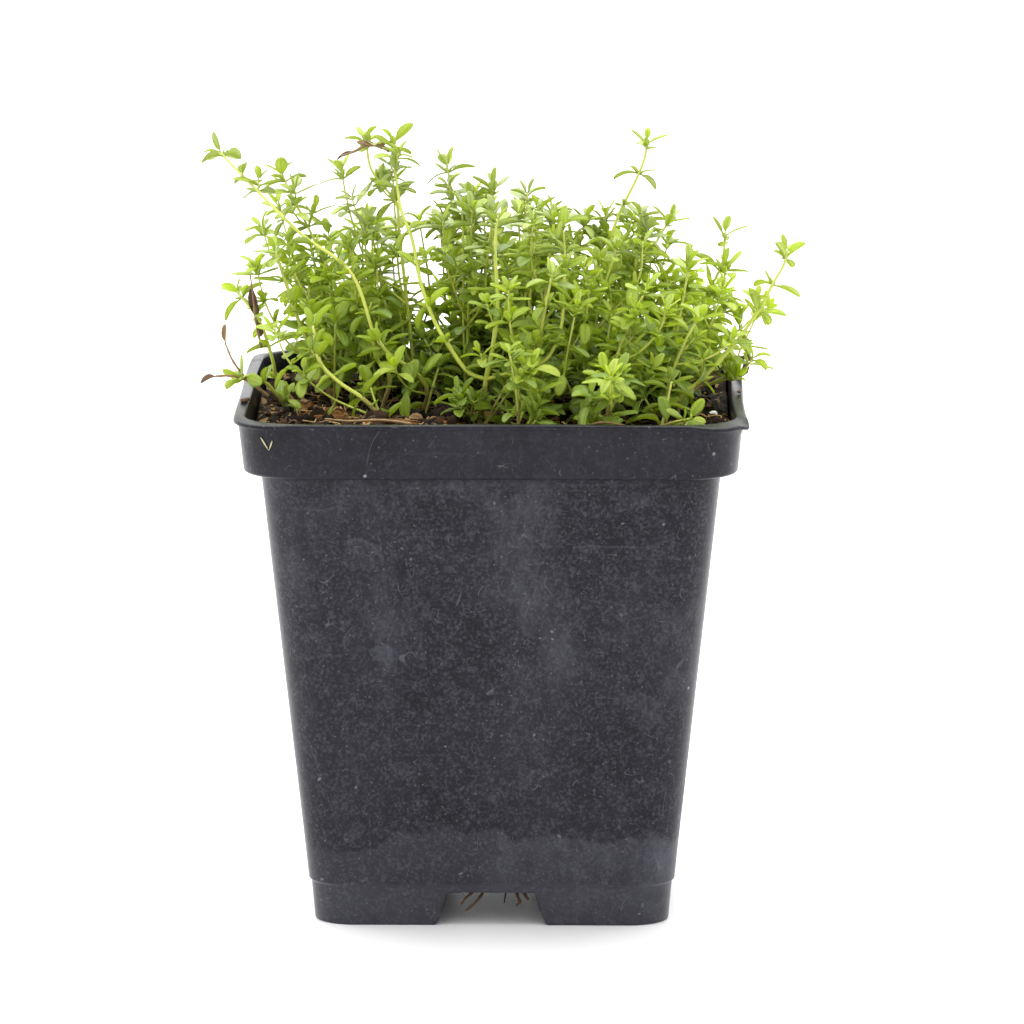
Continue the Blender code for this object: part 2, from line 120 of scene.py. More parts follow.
# Stems that stand out: the points that each centre line passes through, base first
STEMS = {
    "sprig_far_left": [
        (-20, -2, 88), (-18.5, -4, 94), (-21, -5, 98), (-22, -4.5, 104), (-26, 0, 113),
        (-35, 8, 118.5), (-45.7, 18, 127.5), (-50.2, 22, 131.5),
    ],
    "sprig_centre": [
        (-2.3, -19, 88), (-1.6, -19.5, 92), (-1, -20, 96.5), (0.2, -20, 102.5), (1, -18, 110),
        (0.5, -16, 118), (0.8, -14, 124),
    ],
    "sprig_tall_right": [
        (12, 0, 88), (13, 0, 98), (14.7, 0, 106), (17, 0, 111), (20, 0, 116.5), (22.4, 1, 123),
        (25.4, 2, 129), (27, 3, 133), (27.4, 3, 136),
    ],
    "sprig_right_rear": [
        (20, 11, 88), (22, 13, 102), (25.5, 15, 111.5), (28.7, 18, 115), (31.6, 20, 119.5),
    ],
    "sprig_right": [
        (31, 2, 88), (35, 3.5, 100), (38.4, 5, 108), (40, 7, 111), (41.1, 8, 113.6), (41.5, 10, 118.5),
    ],
    "sprig_far_right": [
        (33, -19, 88), (33.4, -20, 93), (37.5, -20, 96.8), (43, -19, 102.8), (47.2, -17, 108.4),
        (49.8, -15, 113), (51.6, -13, 115.8), (52.2, -12, 118),
    ],
    "sprig_low_right": [
        (16.8, -12, 88), (20, -14, 92.2), (22.8, -15, 94.5), (23.7, -16, 98.7), (23.5, -16, 101),
    ],
    "sprig_low_centre": [(8, -20, 88), (7, -22, 93.5), (6.2, -25.5, 98.5), (6, -26, 102)],
    "sprig_front_left": [
        (-19, -20, 88), (-22.3, -21, 92.5), (-27.6, -20, 96.1), (-30.7, -18, 99.5), (-31.8, -15, 105),
    ],
    "sprig_bent": [
        (-12.6, -4, 88), (-11.8, -6, 92.2), (-14.1, -7.5, 95.8), (-18, -8.5, 98.6), (-20.5, -8.5, 101.5),
    ],
    "sprig_left": [(-29, 6, 88), (-33, 5, 98), (-35.5, 4, 104), (-37, 5, 108.5), (-39.4, 6, 115.5)],
    "sprig_left_rim": [
        (-35, -2, 88), (-38.8, -2, 93.5), (-39.5, -4, 97.2), (-41.4, -3, 103), (-43.3, -2, 106), (-46, 0, 109),
    ],
    "sprig_trailing": [(-36, -10, 88), (-40, -12, 94), (-43, -14, 96), (-45, -15.5, 95.5)],
    "sprig_rear": [
        (-6, 18, 88), (-7, 20, 97), (-7.6, 22, 105.3), (-7.8, 24, 113), (-7.8, 26, 121), (-9, 28, 128.5),
    ],
    "sprig_left_rear": [(-22, 14, 88), (-28, 18, 105), (-33.8, 22, 117), (-36.6, 24, 122), (-39, 26, 127)],
    "sprig_rear_centre": [(-1, 12, 88), (0, 15, 104), (-0.5, 18, 115), (-0.5, 20, 125.5)],
    "sprig_centre_left": [
        (-14, 8, 88), (-15.5, 6.5, 104), (-17, 6, 118), (-17.5, 6.5, 124), (-19.5, 8, 126.5),
        (-22.3, 10, 130), (-23.2, 12, 135),
    ],
    "sprig_inner_right": [(24, 6, 88), (25, 7, 108), (26.3, 8, 122)],
    "sprig_outer_right": [(30, -6, 88), (33, -5.5, 104), (35, -5, 115)],
    "sprig_back_right": [(16, 18, 88), (18, 21, 106), (20, 25, 120)],
    "sprig_back_centre": [(4.5, 17, 88), (5.5, 20, 108), (5.7, 22, 124)],
}

# Side shoots that leave the centre sprig low down and reach the crown themselves
CENTRE_SHOOTS = [
    [
        (-1, -20, 96.3), (-4.4, -19.2, 97.6), (-8, -17, 102.3), (-10.4, -14, 106), (-12.8, -10, 112),
        (-14.5, -4, 119), (-16.6, 0, 124), (-17.9, 7, 131), (-18.2, 10, 135),
    ],
    [
        (-1, -20, 96.3), (1.6, -21, 97.2), (5.9, -22, 98.5), (9.8, -22, 100.4), (12.2, -20.5, 105.7),
        (12.7, -18, 112), (12.8, -14, 117.5), (12.3, -10, 123),
    ],
]


# ---- Shader maths ----


def operator(operation):
    """A method for one of Python's operators: it adds a Math node that does the same."""

    def method(self, other):
        return self.maths(operation, self, other)

    return method


class Value:
    """A socket in a material; Python's operators on it add Math nodes."""

    def __init__(self, tree, socket):
        self.tree, self.socket = tree, socket

    def maths(self, operation, *values, clamp=False):
        """A Math node over numbers and other sockets."""
        node = self.tree.nodes.new("ShaderNodeMath")
        node.operation, node.use_clamp = operation, clamp
        for slot, value in zip(node.inputs, values):
            feed(self.tree, slot, value)
        return Value(self.tree, node.outputs[0])

    __add__ = __radd__ = operator("ADD")
    __mul__ = __rmul__ = operator("MULTIPLY")
    __sub__ = operator("SUBTRACT")
    __truediv__ = operator("DIVIDE")
    most = operator("MAXIMUM")

    def __rsub__(self, other):
        return self.maths("SUBTRACT", other, self)

    def __abs__(self):
        return self.maths("ABSOLUTE", self)

    def clamped(self):
        """The value, held between 0 and 1."""
        return self.maths("ADD", self, 0.0, clamp=True)

    def wave(self):
        """The sine of the value, from -1 to 1."""
        return self.maths("SINE", self)

    def rise(self, low, high):
        """0 below low, 1 above high, and a smooth step between; high may be the smaller one."""
        t = ((self - low) / (high - low)).clamped()
        return t * t * (3.0 - 2.0 * t)


def feed(tree, socket, value):
    """Links a Value into a socket, or sets the socket to a number or a colour."""
    if isinstance(value, Value):
        tree.links.new(value.socket, socket)
    elif isinstance(value, (tuple, list)) and len(value) == 3 and socket.type == "RGBA":
        socket.default_value = (*value, 1.0)
    else:
        socket.default_value = value


class Finish:
    """A material under construction."""

    def __init__(self, name):
        self.material = bpy.data.materials.new(name)
        self.material.use_nodes = True
        self.tree = self.material.node_tree
        self.shader = self.tree.nodes["Principled BSDF"]
        self.output = self.tree.nodes["Material Output"]

    def node(self, kind, settings, sockets, output=0):
        """A node of a type, with its settings made first, then its sockets fed; gives one of its outputs."""
        node = self.tree.nodes.new(kind)
        for name, value in settings.items():
            setattr(node, name, value)
        for name, value in sockets.items():
            feed(self.tree, node.inputs[name], value)
        return Value(self.tree, node.outputs[output])

    def place(self, scale=(1.0, 1.0, 1.0), turn=(0.0, 0.0, 0.0)):
        """Object coordinates, stretched and turned for a pattern."""
        here = self.node("ShaderNodeTexCoord", {}, {}, "Object")
        return self.node("ShaderNodeMapping", {}, {"Vector": here, "Scale": scale, "Rotation": turn})

    def attribute(self, name):
        """The three numbers that a piece's mesh carries under a name."""
        both = self.node("ShaderNodeAttribute", {"attribute_name": name}, {}, "Vector")
        return [self.node("ShaderNodeSeparateXYZ", {}, {"Vector": both}, axis) for axis in "XYZ"]

    def warped(self, where, scale, amount):
        """Coordinates pushed about by a noise, so that a pattern on them loses its straight edges."""
        wobble = self.node("ShaderNodeTexNoise", {}, {"Vector": where, "Scale": scale, "Detail": 2.0}, "Color")
        settings = {"operation": "MULTIPLY_ADD"}
        return self.node("ShaderNodeVectorMath", settings, {0: wobble, 1: (amount,) * 3, 2: where})

    def height(self):
        """Height above the ground in millimetres."""
        return self.node("ShaderNodeSeparateXYZ", {}, {0: self.place()}, "Z") * (1.0 / MM)

    def noise(self, scale, where=None, detail=3.0, roughness=0.5):
        """Cloudy noise from 0 to 1, mostly near a half; more detail adds smaller clouds."""
        sockets = {"Vector": where or self.place(), "Scale": scale, "Detail": detail, "Roughness": roughness}
        return self.node("ShaderNodeTexNoise", {}, sockets, "Fac")

    def cells(self, scale, where=None, feature="F1", output="Distance"):
        """Distance from the middle of the nearest cell, or the cell's own random colour."""
        sockets = {"Vector": where or self.place(), "Scale": scale}
        return self.node("ShaderNodeTexVoronoi", {"feature": feature}, sockets, output)

    def specks(self, scale, radius, chosen, where=None):
        """Spots about the middles of some cells: those whose random red rises over a range."""
        return self.cells(scale, where).rise(*radius) * self.cell_tone(scale, where).rise(*chosen)

    def cell_tone(self, scale, where=None):
        """One random number from 0 to 1 for each cell."""
        return self.node("ShaderNodeSeparateColor", {}, {"Color": self.cells(scale, where, output="Color")}, "Red")

    def mix(self, first, second, share):
        """From the first colour to the second as the share goes from 0 to 1."""
        node = self.tree.nodes.new("ShaderNodeMix")
        node.data_type = "RGBA"
        for slot, value in zip((node.inputs[0], node.inputs[6], node.inputs[7]), (share, first, second)):
            feed(self.tree, slot, value)
        return Value(self.tree, node.outputs[2])

    def bump(self, height, distance, strength, under=None):
        """A normal tilted by the slope of a height, over another bump if one is given."""
        sockets = {"Height": height, "Distance": distance, "Strength": strength}
        if under:
            sockets["Normal"] = under
        return self.node("ShaderNodeBump", {}, sockets)

    def surface(self, colour, roughness, normal=None, specular=0.5):
        """Feeds the Principled shader and gives the finished material."""
        sockets = {"Base Color": colour, "Roughness": roughness, "Specular IOR Level": specular}
        if normal:
            sockets["Normal"] = normal
        for name, value in sockets.items():
            feed(self.tree, self.shader.inputs[name], value)
        return self.material

    def let_light_through(self, colour, normal, share):
        """Mixes in a share of light that passes through a thin leaf, in one colour."""
        through = self.node("ShaderNodeBsdfTranslucent", {}, {"Color": colour, "Normal": normal})
        mixer = self.tree.nodes.new("ShaderNodeMixShader")
        feed(self.tree, mixer.inputs[0], share)
        self.tree.links.new(self.shader.outputs[0], mixer.inputs[1])
        self.tree.links.new(through.socket, mixer.inputs[2])
        self.tree.links.new(mixer.outputs[0], self.output.inputs["Surface"])


# ---- Materials ----


def moulded_plastic():
    """Charcoal pot plastic: satin, faintly mottled, with fine grain, lint, dust, dried water, worn edges with a
    painted edge highlight, a painted highlight on the rim's top and a foot lightened by painted bounce light.
    """
    finish = Finish("moulded_plastic")
    # Per point: edge wear with a painted edge highlight, soil dirt, and the mask of the painted highlight on the
    # rim's top
    edge_wear_and_highlight, soiled, top = finish.attribute("wear")
    height = finish.height()
    band = height.rise(*BAND_SHOWS_Z)
    cloud = finish.noise(48.0, detail=6.0, roughness=0.6)
    grain = finish.noise(2600.0, detail=2.0)
    mottle = finish.noise(420.0, detail=7.0, roughness=0.8) * 0.4
    mottle = mottle + finish.noise(1600.0, detail=4.0, roughness=0.75) * 0.6
    charcoal = finish.mix((0.0018, 0.0016, 0.0048), (0.0080, 0.0078, 0.0128), cloud.rise(0.30, 0.70))
    charcoal = finish.mix(charcoal, (0.050, 0.049, 0.061), mottle.rise(0.45, 0.66) * (0.85 - band * 0.55))

    bent = finish.warped(finish.place(), 160.0, 0.004)
    level = finish.noise(34.0, finish.place((0.35, 0.35, 30.0)), detail=4.0)
    rub = finish.noise(70.0, finish.place((0.6, 0.6, 1.0)), detail=5.0, roughness=0.7)
    lines = level.rise(0.58, 0.72) * rub.rise(0.46, 0.62) * height.rise(40.0, 75.0) * 0.30
    broken = finish.noise(700.0, detail=1.0).rise(0.56, 0.62)
    lint = abs(finish.noise(270.0, bent, detail=0.0) - 0.5).rise(0.0085, 0.002) * broken
    scratch = abs(finish.noise(120.0, finish.place((1.0, 1.0, 0.3), (0.2, 0.5, 0.0)), detail=0.0) - 0.42)
    scratch = scratch.rise(0.004, 0.001) * finish.noise(260.0, detail=1.0).rise(0.56, 0.62)

    fine_dust = finish.specks(1500.0, (0.34, 0.12), (0.86, 1.0))
    dust = finish.specks(640.0, (0.24, 0.10), (0.945, 1.0), bent)
    grit = finish.specks(230.0, (0.09, 0.05), (0.972, 0.985))

    blotch = finish.noise(105.0, bent, detail=3.0)
    stain = blotch.rise(0.66, 0.675) * (0.45 + blotch.rise(0.70, 0.675) * 0.55)
    film = finish.noise(36.0, finish.place((1.0, 1.0, 0.6)), detail=7.0, roughness=0.7).rise(0.48, 0.72)
    tide = (height + cloud * 26.0).rise(TIDE_Z + 1.0, TIDE_Z - 1.0)
    splash = tide * 0.38 * film.most(0.5)
    clear_zone = (height + cloud * 30.0).rise(66.0, 50.0) * (1.0 - tide)

    # Scuffed edges with a painted highlight line along every edge of the mould
    edge = edge_wear_and_highlight.rise(0.72, 0.98)
    scuff_and_edge_highlight = (edge_wear_and_highlight * finish.noise(330.0, detail=4.0, roughness=0.7).rise(0.36, 0.60)).most(edge * 0.8)
    # Painted light: the foot below the ledge is lightened, standing in for light bounced up from the floor
    foot = height.rise(LEDGE_Z + 0.4, LEDGE_Z - 0.4) * 0.16
    haze_and_foot_light = (lines + film * 0.50 * (1.0 - clear_zone * 0.85) + stain * 0.22 + splash) * (1.0 - band * 0.8)
    haze_and_foot_light = (haze_and_foot_light + foot).clamped()
    colour = finish.mix(charcoal, (0.080, 0.080, 0.097), haze_and_foot_light)
    colour = finish.mix(colour, (0.17, 0.17, 0.18), (lint * 0.30 + scratch * 0.22 + scuff_and_edge_highlight * 0.8).clamped())
    earth = soiled * finish.noise(170.0, detail=6.0, roughness=0.7).rise(0.50, 0.66)
    colour = finish.mix(colour, (0.045, 0.030, 0.018), earth * 0.7)
    # Painted highlight: the rim's top and inner lip are lightened in mottled patches, most at the back and sides,
    # for light falling from above
    rim_top_highlight = top * (finish.noise(240.0, detail=6.0, roughness=0.7).rise(0.60, 0.50) * 0.5 + 0.5)
    colour = finish.mix(colour, (0.38, 0.38, 0.40), rim_top_highlight * 0.85)
    colour = finish.mix(colour, (0.26, 0.26, 0.27), (fine_dust * 0.26 + dust * 0.40 + grit * 0.6).clamped())
    roughness = 0.27 + film * 0.10 + scuff_and_edge_highlight * 0.2 + stain * 0.12 + dust * 0.25
    roughness = roughness + earth * 0.25 + mottle * 0.06 + rim_top_highlight * 0.1
    pebbles = finish.bump(grain, 0.00002, 0.4)
    waves = finish.bump(finish.noise(75.0, detail=2.0), 0.0006, 0.2, pebbles)
    normal = finish.bump(dust + grit * 2.0 + lint - scratch, 0.00004, 0.6, waves)
    return finish.surface(colour, roughness, normal, 0.17)


def potting_mix():
    """Moist peat: nearly black, with brown fibres, paler grains and damp patches."""
    finish = Finish("potting_mix")
    clod = finish.noise(330.0, detail=6.0, roughness=0.7)
    peat = finish.mix((0.004, 0.0025, 0.0012), (0.030, 0.016, 0.006), clod.rise(0.35, 0.68))
    strands = finish.noise(260.0, finish.place((1.0, 5.0, 1.0), (0.0, 0.4, 0.7)), detail=3.0)
    colour = finish.mix(peat, (0.20, 0.115, 0.05), strands.rise(0.60, 0.70) * 0.7)
    flake = finish.cell_tone(620.0).rise(0.90, 0.94)
    colour = finish.mix(colour, (0.34, 0.22, 0.10), flake * 0.8)
    damp = finish.noise(60.0, detail=2.0).rise(0.4, 0.6)
    normal = finish.bump(clod, 0.0009, 0.9)
    return finish.surface(colour, 0.92 - damp * 0.25, normal, 0.12)


def crumb():
    """Loose lumps on the soil, each of its own tone, from black peat to tan and golden bark."""
    finish = Finish("crumb")
    tone, gold, _ = finish.attribute("tone")
    mottle = finish.noise(900.0, detail=4.0, roughness=0.65)
    dark = finish.mix((0.005, 0.003, 0.002), (0.060, 0.030, 0.011), tone.rise(0.3, 0.8))
    pale = finish.mix((0.30, 0.125, 0.034), (0.58, 0.34, 0.09), gold)
    colour = finish.mix(dark, pale, tone.rise(0.78, 0.88))
    colour = finish.mix(colour, (0.02, 0.013, 0.008), mottle.rise(0.42, 0.62) * 0.65)
    return finish.surface(colour, 0.86, finish.bump(mottle, 0.0004, 0.8), 0.12)


def bark():
    """Fibrous bark: orange brown with dark grooves along the chip."""
    finish = Finish("bark")
    along, across, _ = finish.attribute("place")
    tone, _, _ = finish.attribute("tone")
    wander = finish.noise(160.0, detail=4.0)
    stripe = (across * 26.0 + wander * 9.0 + tone * 20.0).wave() * 0.5 + 0.5
    spots = finish.noise(700.0, detail=5.0, roughness=0.7)
    orange = (stripe * 0.6 + spots * 0.7 - 0.15).clamped()
    frayed = (along * along).rise(0.6, 1.0) * spots.rise(0.45, 0.6)
    colour = finish.mix((0.050, 0.018, 0.006), (0.52, 0.245, 0.075), orange)
    colour = finish.mix(colour, (0.62, 0.47, 0.24), frayed * 0.5)
    normal = finish.bump(stripe * 0.6 + spots * 0.5, 0.00035, 0.9)
    return finish.surface(colour, 0.82, normal, 0.15)


def perlite():
    """White expanded rock: chalky, pitted."""
    finish = Finish("perlite")
    pits = finish.cells(1500.0, feature="SMOOTH_F1")
    colour = finish.mix((0.58, 0.56, 0.50), (0.86, 0.85, 0.81), pits.rise(0.15, 0.5))
    return finish.surface(colour, 0.8, finish.bump(pits, 0.0003, 0.8))


def fibre():
    """Tan coir fibres and fine roots."""
    finish = Finish("fibre")
    tone, _, _ = finish.attribute("tone")
    blotch = finish.noise(500.0, detail=3.0)
    colour = finish.mix((0.035, 0.020, 0.010), (0.52, 0.33, 0.13), (tone * 0.8 + blotch * 0.5 - 0.15).clamped())
    return finish.surface(colour, 0.7, finish.bump(blotch, 0.0001, 0.5))


def dried():
    """Dead leaf and twig: dull brown with a paler midrib; above a tone of 1.2, straw."""
    finish = Finish("dried")
    across, along, _ = finish.attribute("place")
    tone, _, _ = finish.attribute("tone")
    blotch = finish.noise(420.0, detail=5.0, roughness=0.65)
    vein = abs(across).rise(0.16, 0.04)
    colour = finish.mix((0.050, 0.022, 0.012), (0.27, 0.155, 0.060), (tone * 0.9 + blotch * 0.5 - 0.2).clamped())
    colour = finish.mix(colour, (0.40, 0.27, 0.12), vein * 0.4 + along * 0.1)
    colour = finish.mix(colour, (0.50, 0.44, 0.27), tone.rise(1.2, 1.5))
    return finish.surface(colour, 0.75, finish.bump(blotch, 0.0003, 0.8))


def leaf():
    """Thyme leaf: green above, paler beneath, younger leaves yellower, with a pale midrib, a painted grey sheen on
    the leaves high in the crown, and light through it."""
    finish = Finish("leaf")
    across, along, under = finish.attribute("place")
    tone, youth, hue = finish.attribute("tone")
    side = abs(across)
    old = finish.mix((0.090, 0.185, 0.014), (0.450, 0.570, 0.040), tone)
    fresh = finish.mix((0.440, 0.600, 0.018), (0.660, 0.730, 0.105), hue)
    green = finish.mix(old, fresh, youth)
    blotch = finish.noise(620.0, detail=4.0, roughness=0.6)
    green = finish.mix(green, (0.100, 0.150, 0.006), blotch.rise(0.5, 0.75) * 0.32)
    rib = side.rise(0.15, 0.02)
    veins = ((along * 34.0 - side * 11.0).wave() * 0.5 + 0.5).rise(0.80, 1.0) * side.rise(0.03, 0.15)
    pale = (rib * 0.42 + veins * 0.14 + side.rise(0.86, 1.0) * 0.22).clamped()
    green = finish.mix(green, (0.62, 0.70, 0.13), pale)
    dots = finish.cells(2300.0).rise(0.22, 0.08)
    height = finish.height()
    # Painted sheen: leaves high in the crown are greyed and lightened in patches, for light on their tops
    crown_sheen = finish.noise(150.0, detail=2.0).rise(0.35, 0.65) * (0.04 + height.rise(CROWN_SHEEN_Z, CROWN_TOP_Z) * 0.96)
    green = finish.mix(green, (0.42, 0.47, 0.29), crown_sheen * (1.0 - youth * 0.15) * 0.80)
    beneath = finish.mix(green, (0.40, 0.49, 0.12), 0.55)
    colour = finish.mix(green, beneath, under.rise(0.35, 0.75))
    colour = finish.mix(colour, (0.07, 0.12, 0.02), dots * 0.22)
    groove = rib * (0.5 - under) + veins * 0.25 * (0.5 - under) + blotch * 0.12
    normal = finish.bump(groove, 0.00022, 0.75)
    share = 0.42 + youth * 0.18 - height.rise(CROWN_SHEEN_Z, CROWN_TOP_Z - 1.0) * 0.16
    finish.let_light_through((0.74, 0.86, 0.045), normal, share)
    roughness = 0.34 + under * 0.25 + blotch * 0.12
    return finish.surface(colour, roughness, normal, 0.75)


def stem():
    """Green stem: yellow green in the crown, browner and woody at the soil, tinged red here and there."""
    finish = Finish("stem")
    ridge, share, woody = finish.attribute("place")
    tone, _, _ = finish.attribute("tone")
    flecks = finish.noise(380.0, finish.place((1.0, 1.0, 0.35)), detail=4.0)
    green = finish.mix((0.400, 0.470, 0.040), (0.620, 0.660, 0.120), (tone * 0.6 + flecks * 0.5).clamped())
    colour = finish.mix(green, (0.70, 0.74, 0.24), share.rise(0.55, 1.0) * 0.4)
    colour = finish.mix(colour, (0.250, 0.120, 0.055), flecks.rise(0.56, 0.70) * (0.16 + woody * 0.3))
    bark_brown = finish.mix((0.16, 0.085, 0.040), (0.33, 0.215, 0.105), flecks.rise(0.35, 0.65))
    colour = finish.mix(colour, bark_brown, woody.rise(0.25, 0.95) * 0.85)
    normal = finish.bump(ridge * 0.5 + flecks * 0.4, 0.00012, 0.5)
    finish.let_light_through((0.56, 0.64, 0.12), normal, 0.15 - woody * 0.1)
    return finish.surface(colour, 0.5 + woody * 0.3, normal, 0.4)


def pale_floor():
    """Pale grey ground, very faintly uneven."""
    finish = Finish("pale_floor")
    dapple = finish.noise(1.5, detail=2.0)
    return finish.surface(finish.mix((0.84,) * 3, (0.86,) * 3, dapple), 0.35)


# ---- Meshes ----


class Shell:
    """Closed surfaces gathered for one piece: points, faces by number of corners, and what each point carries."""

    def __init__(self):
        self.points, self.faces, self.carried = [], [], {}
        self.count = 0

    def add(self, points, faces, material=0, **carried):
        """Adds points (n, 3) and face arrays; a carried value is one triple or a row of three for each point."""
        self.points.append(points)
        for face in faces:
            self.faces.append((face + self.count, material))
        for name in ("place", "tone", "wear"):
            value = np.asarray(carried.get(name, (0.0, 0.0, 0.0)), float)
            self.carried.setdefault(name, []).append(np.broadcast_to(value, points.shape))
        self.count += len(points)

    def make(self, name, *materials):
        """One smooth-shaded piece in metres, with its material slots and what its points carry."""
        mesh = bpy.data.meshes.new(name)
        points = np.concatenate(self.points) * MM
        sizes = np.concatenate([np.full(len(face), face.shape[1]) for face, _ in self.faces])
        slots = np.concatenate([np.full(len(face), material) for face, material in self.faces])
        loops = np.concatenate([face.ravel() for face, _ in self.faces])
        mesh.vertices.add(len(points))
        mesh.vertices.foreach_set("co", points.ravel())
        mesh.loops.add(len(loops))
        mesh.loops.foreach_set("vertex_index", loops.astype(np.int32))
        mesh.polygons.add(len(sizes))
        mesh.polygons.foreach_set("loop_start", np.concatenate([[0], np.cumsum(sizes)[:-1]]).astype(np.int32))
        for material in materials:
            mesh.materials.append(material)
        mesh.polygons.foreach_set("material_index", slots.astype(np.int32))
        mesh.update(calc_edges=True)
        mesh.shade_smooth()
        for label, rows in self.carried.items():
            values = np.concatenate(rows)
            if values.any():
                mesh.attributes.new(label, "FLOAT_VECTOR", "POINT").data.foreach_set("vector", values.ravel())
        return shown(name, mesh)


def shown(name, data):
    """An object in the scene that shows this data."""
    item = bpy.data.objects.new(name, data)
    bpy.context.scene.collection.objects.link(item)
    return item


def ring_faces(rows, columns):
    """Quads of a grid of rows whose columns close into rings, facing out when rows rise and rings turn left."""
    row, column = np.meshgrid(np.arange(rows - 1), np.arange(columns), indexing="ij")
    here, ahead = row * columns + column, row * columns + (column + 1) % columns
    return np.stack([here, ahead, ahead + columns, here + columns], -1).reshape(-1, 4)


def cap_faces(start, columns, pole, upwards):
    """Triangles from a ring to its pole."""
    column = np.arange(columns)
    here, ahead = start + column, start + (column + 1) % columns
    order = (here, ahead) if upwards else (ahead, here)
    return np.stack([*order, np.full(columns, pole)], -1)


def lathe_faces(rows, columns):
    """Faces of rings that are closed by a pole before the first ring and a pole after the last one."""
    first, last = rows * columns, rows * columns + 1
    return [
        ring_faces(rows, columns),
        cap_faces(0, columns, first, False),
        cap_faces((rows - 1) * columns, columns, last, True),
    ]


def unit(vectors):
    """Each vector divided by its length."""
    return vectors / np.maximum(np.linalg.norm(vectors, axis=-1, keepdims=True), 1e-9)


def smooth(t):
    """A smooth step from 0 to 1: three t squared less two t cubed."""
    t = np.clip(t, 0.0, 1.0)
    return t * t * (3.0 - 2.0 * t)


def value_noise(points, scale, seed):
    """Smooth noise from -1 to 1: random values on a lattice, blended by a smooth step along each axis."""
    where = points / scale
    cell = np.floor(where).astype(np.int64)
    part = smooth(where - cell)
    total = np.zeros(len(points))
    for corner in np.ndindex(2, 2, 2):
        at = cell + corner
        mixed = at[:, 0] * 73856093 ^ at[:, 1] * 19349663 ^ at[:, 2] * 83492791 ^ (seed * 2654435761)
        mixed = (mixed ^ (mixed >> 13)) * 1274126177 & 0x7FFFFFFF
        share = np.prod(np.where(corner, part, 1.0 - part), axis=1)
        total += share * ((mixed ^ (mixed >> 16)) % 65536 / 32767.5 - 1.0)
    return total


def smooth_path(points, spacing=0.5):
    """A Catmull-Rom curve through the points: each stretch is the cubic that keeps its neighbours' slopes."""
    points = np.asarray(points, float)
    ends = np.vstack([2 * points[0] - points[1], points, 2 * points[-1] - points[-2]])
    stretches = []
    for p0, p1, p2, p3 in zip(ends, ends[1:], ends[2:], ends[3:]):
        steps = max(3, int(np.linalg.norm(p2 - p1) / spacing))
        t = np.arange(steps)[:, None] / steps
        bend = (2 * p0 - 5 * p1 + 4 * p2 - p3) * t**2 + (3 * p1 - p0 - 3 * p2 + p3) * t**3
        stretches.append(p1 + 0.5 * ((p2 - p0) * t + bend))
    return np.vstack([*stretches, points[-1:]])


def path_frames(path, start=(1.0, 0.0, 0.0)):
    """Directions along a path, and two sides carried along it without spin."""
    along = unit(np.gradient(path, axis=0))
    side = np.array(start, float)
    sides = []
    for direction in along:
        side = unit(side - direction * side.dot(direction))
        sides.append(side)
    sides = np.array(sides)
    return along, sides, np.cross(along, sides)


def tube(path, radii, columns, start=(1.0, 0.0, 0.0)):
    """A ring about each point of a path, closed by a pole at each end. A point of a ring is the path's point
    plus the radius times the cosine of its angle along one side and the sine along the other."""
    along, side, lift = path_frames(path, start)
    angle = 2 * np.pi * np.arange(columns) / columns
    ring = side[:, None] * np.cos(angle)[:, None] + lift[:, None] * np.sin(angle)[:, None]
    points = path[:, None] + ring * np.asarray(radii)[:, None, None]
    poles = [path[0] - along[0] * radii[0] * 0.4, path[-1] + along[-1] * radii[-1] * 0.7]
    return np.vstack([points.reshape(-1, 3), poles]), lathe_faces(len(path), columns)


# ---- Pot ----


def square_outline():
    """A unit square with rounded corners, as x and y from its middle, with points close together where the
    foot's notches begin and end; also how far each point is round a corner, from 0 on the flats to 1."""
    flat_end = 1.0 - CORNER_SHARE
    notch = np.linspace(NOTCH_TOP_HALF - 0.8, NOTCH_FOOT_HALF + 0.8, 19) / FOOT_HALF
    outer = np.linspace(NOTCH_FOOT_HALF + 2.4, flat_end * FOOT_HALF - 1.0, 6) / FOOT_HALF
    inner = np.linspace(0.0, NOTCH_TOP_HALF - 2.2, 4) / FOOT_HALF
    half = np.concatenate([inner, notch, outer])
    flat = np.concatenate([-half[:0:-1], half])
    turn = np.linspace(0.0, np.pi / 2, CORNER_STEPS)
    arc = CORNER_SHARE * np.stack([np.sin(turn), -np.cos(turn)], -1) + (flat_end, -flat_end)
    front = np.stack([flat, -np.ones_like(flat)], -1)
    quarter = np.vstack([front, arc])
    bend = np.concatenate([np.zeros(len(flat)), np.sin(2 * turn)])
    turns = [np.array([[np.cos(a), np.sin(a)], [-np.sin(a), np.cos(a)]]) for a in np.pi / 2 * np.arange(4)]
    return np.vstack([quarter @ matrix for matrix in turns]), np.tile(bend, 4)


def filleted(points, radii, most_step):
    """A polyline whose corners are replaced by arcs that touch both sides, with long runs cut into steps."""
    points = np.asarray(points, float)
    line = [points[0]]
    for before, here, after, radius in zip(points, points[1:], points[2:], radii[1:-1]):
        back, ahead = unit(before - here), unit(after - here)
        half_angle = np.arccos(np.clip(back.dot(ahead), -1, 1)) / 2
        reach = radius / math.tan(half_angle)
        middle = here + unit(back + ahead) * radius / math.sin(half_angle)
        start, end = here + back * reach - middle, here + ahead * reach - middle
        for t in np.linspace(0.0, 1.0, 5):
            line.append(middle + unit(start * (1 - t) + end * t) * radius)
    line.append(points[-1])
    steps = []
    for here, ahead in zip(line, line[1:]):
        count = max(1, math.ceil(np.linalg.norm(ahead - here) / most_step))
        steps += [here + (ahead - here) * i / count for i in range(count)]
    return np.array([*steps, line[-1]])


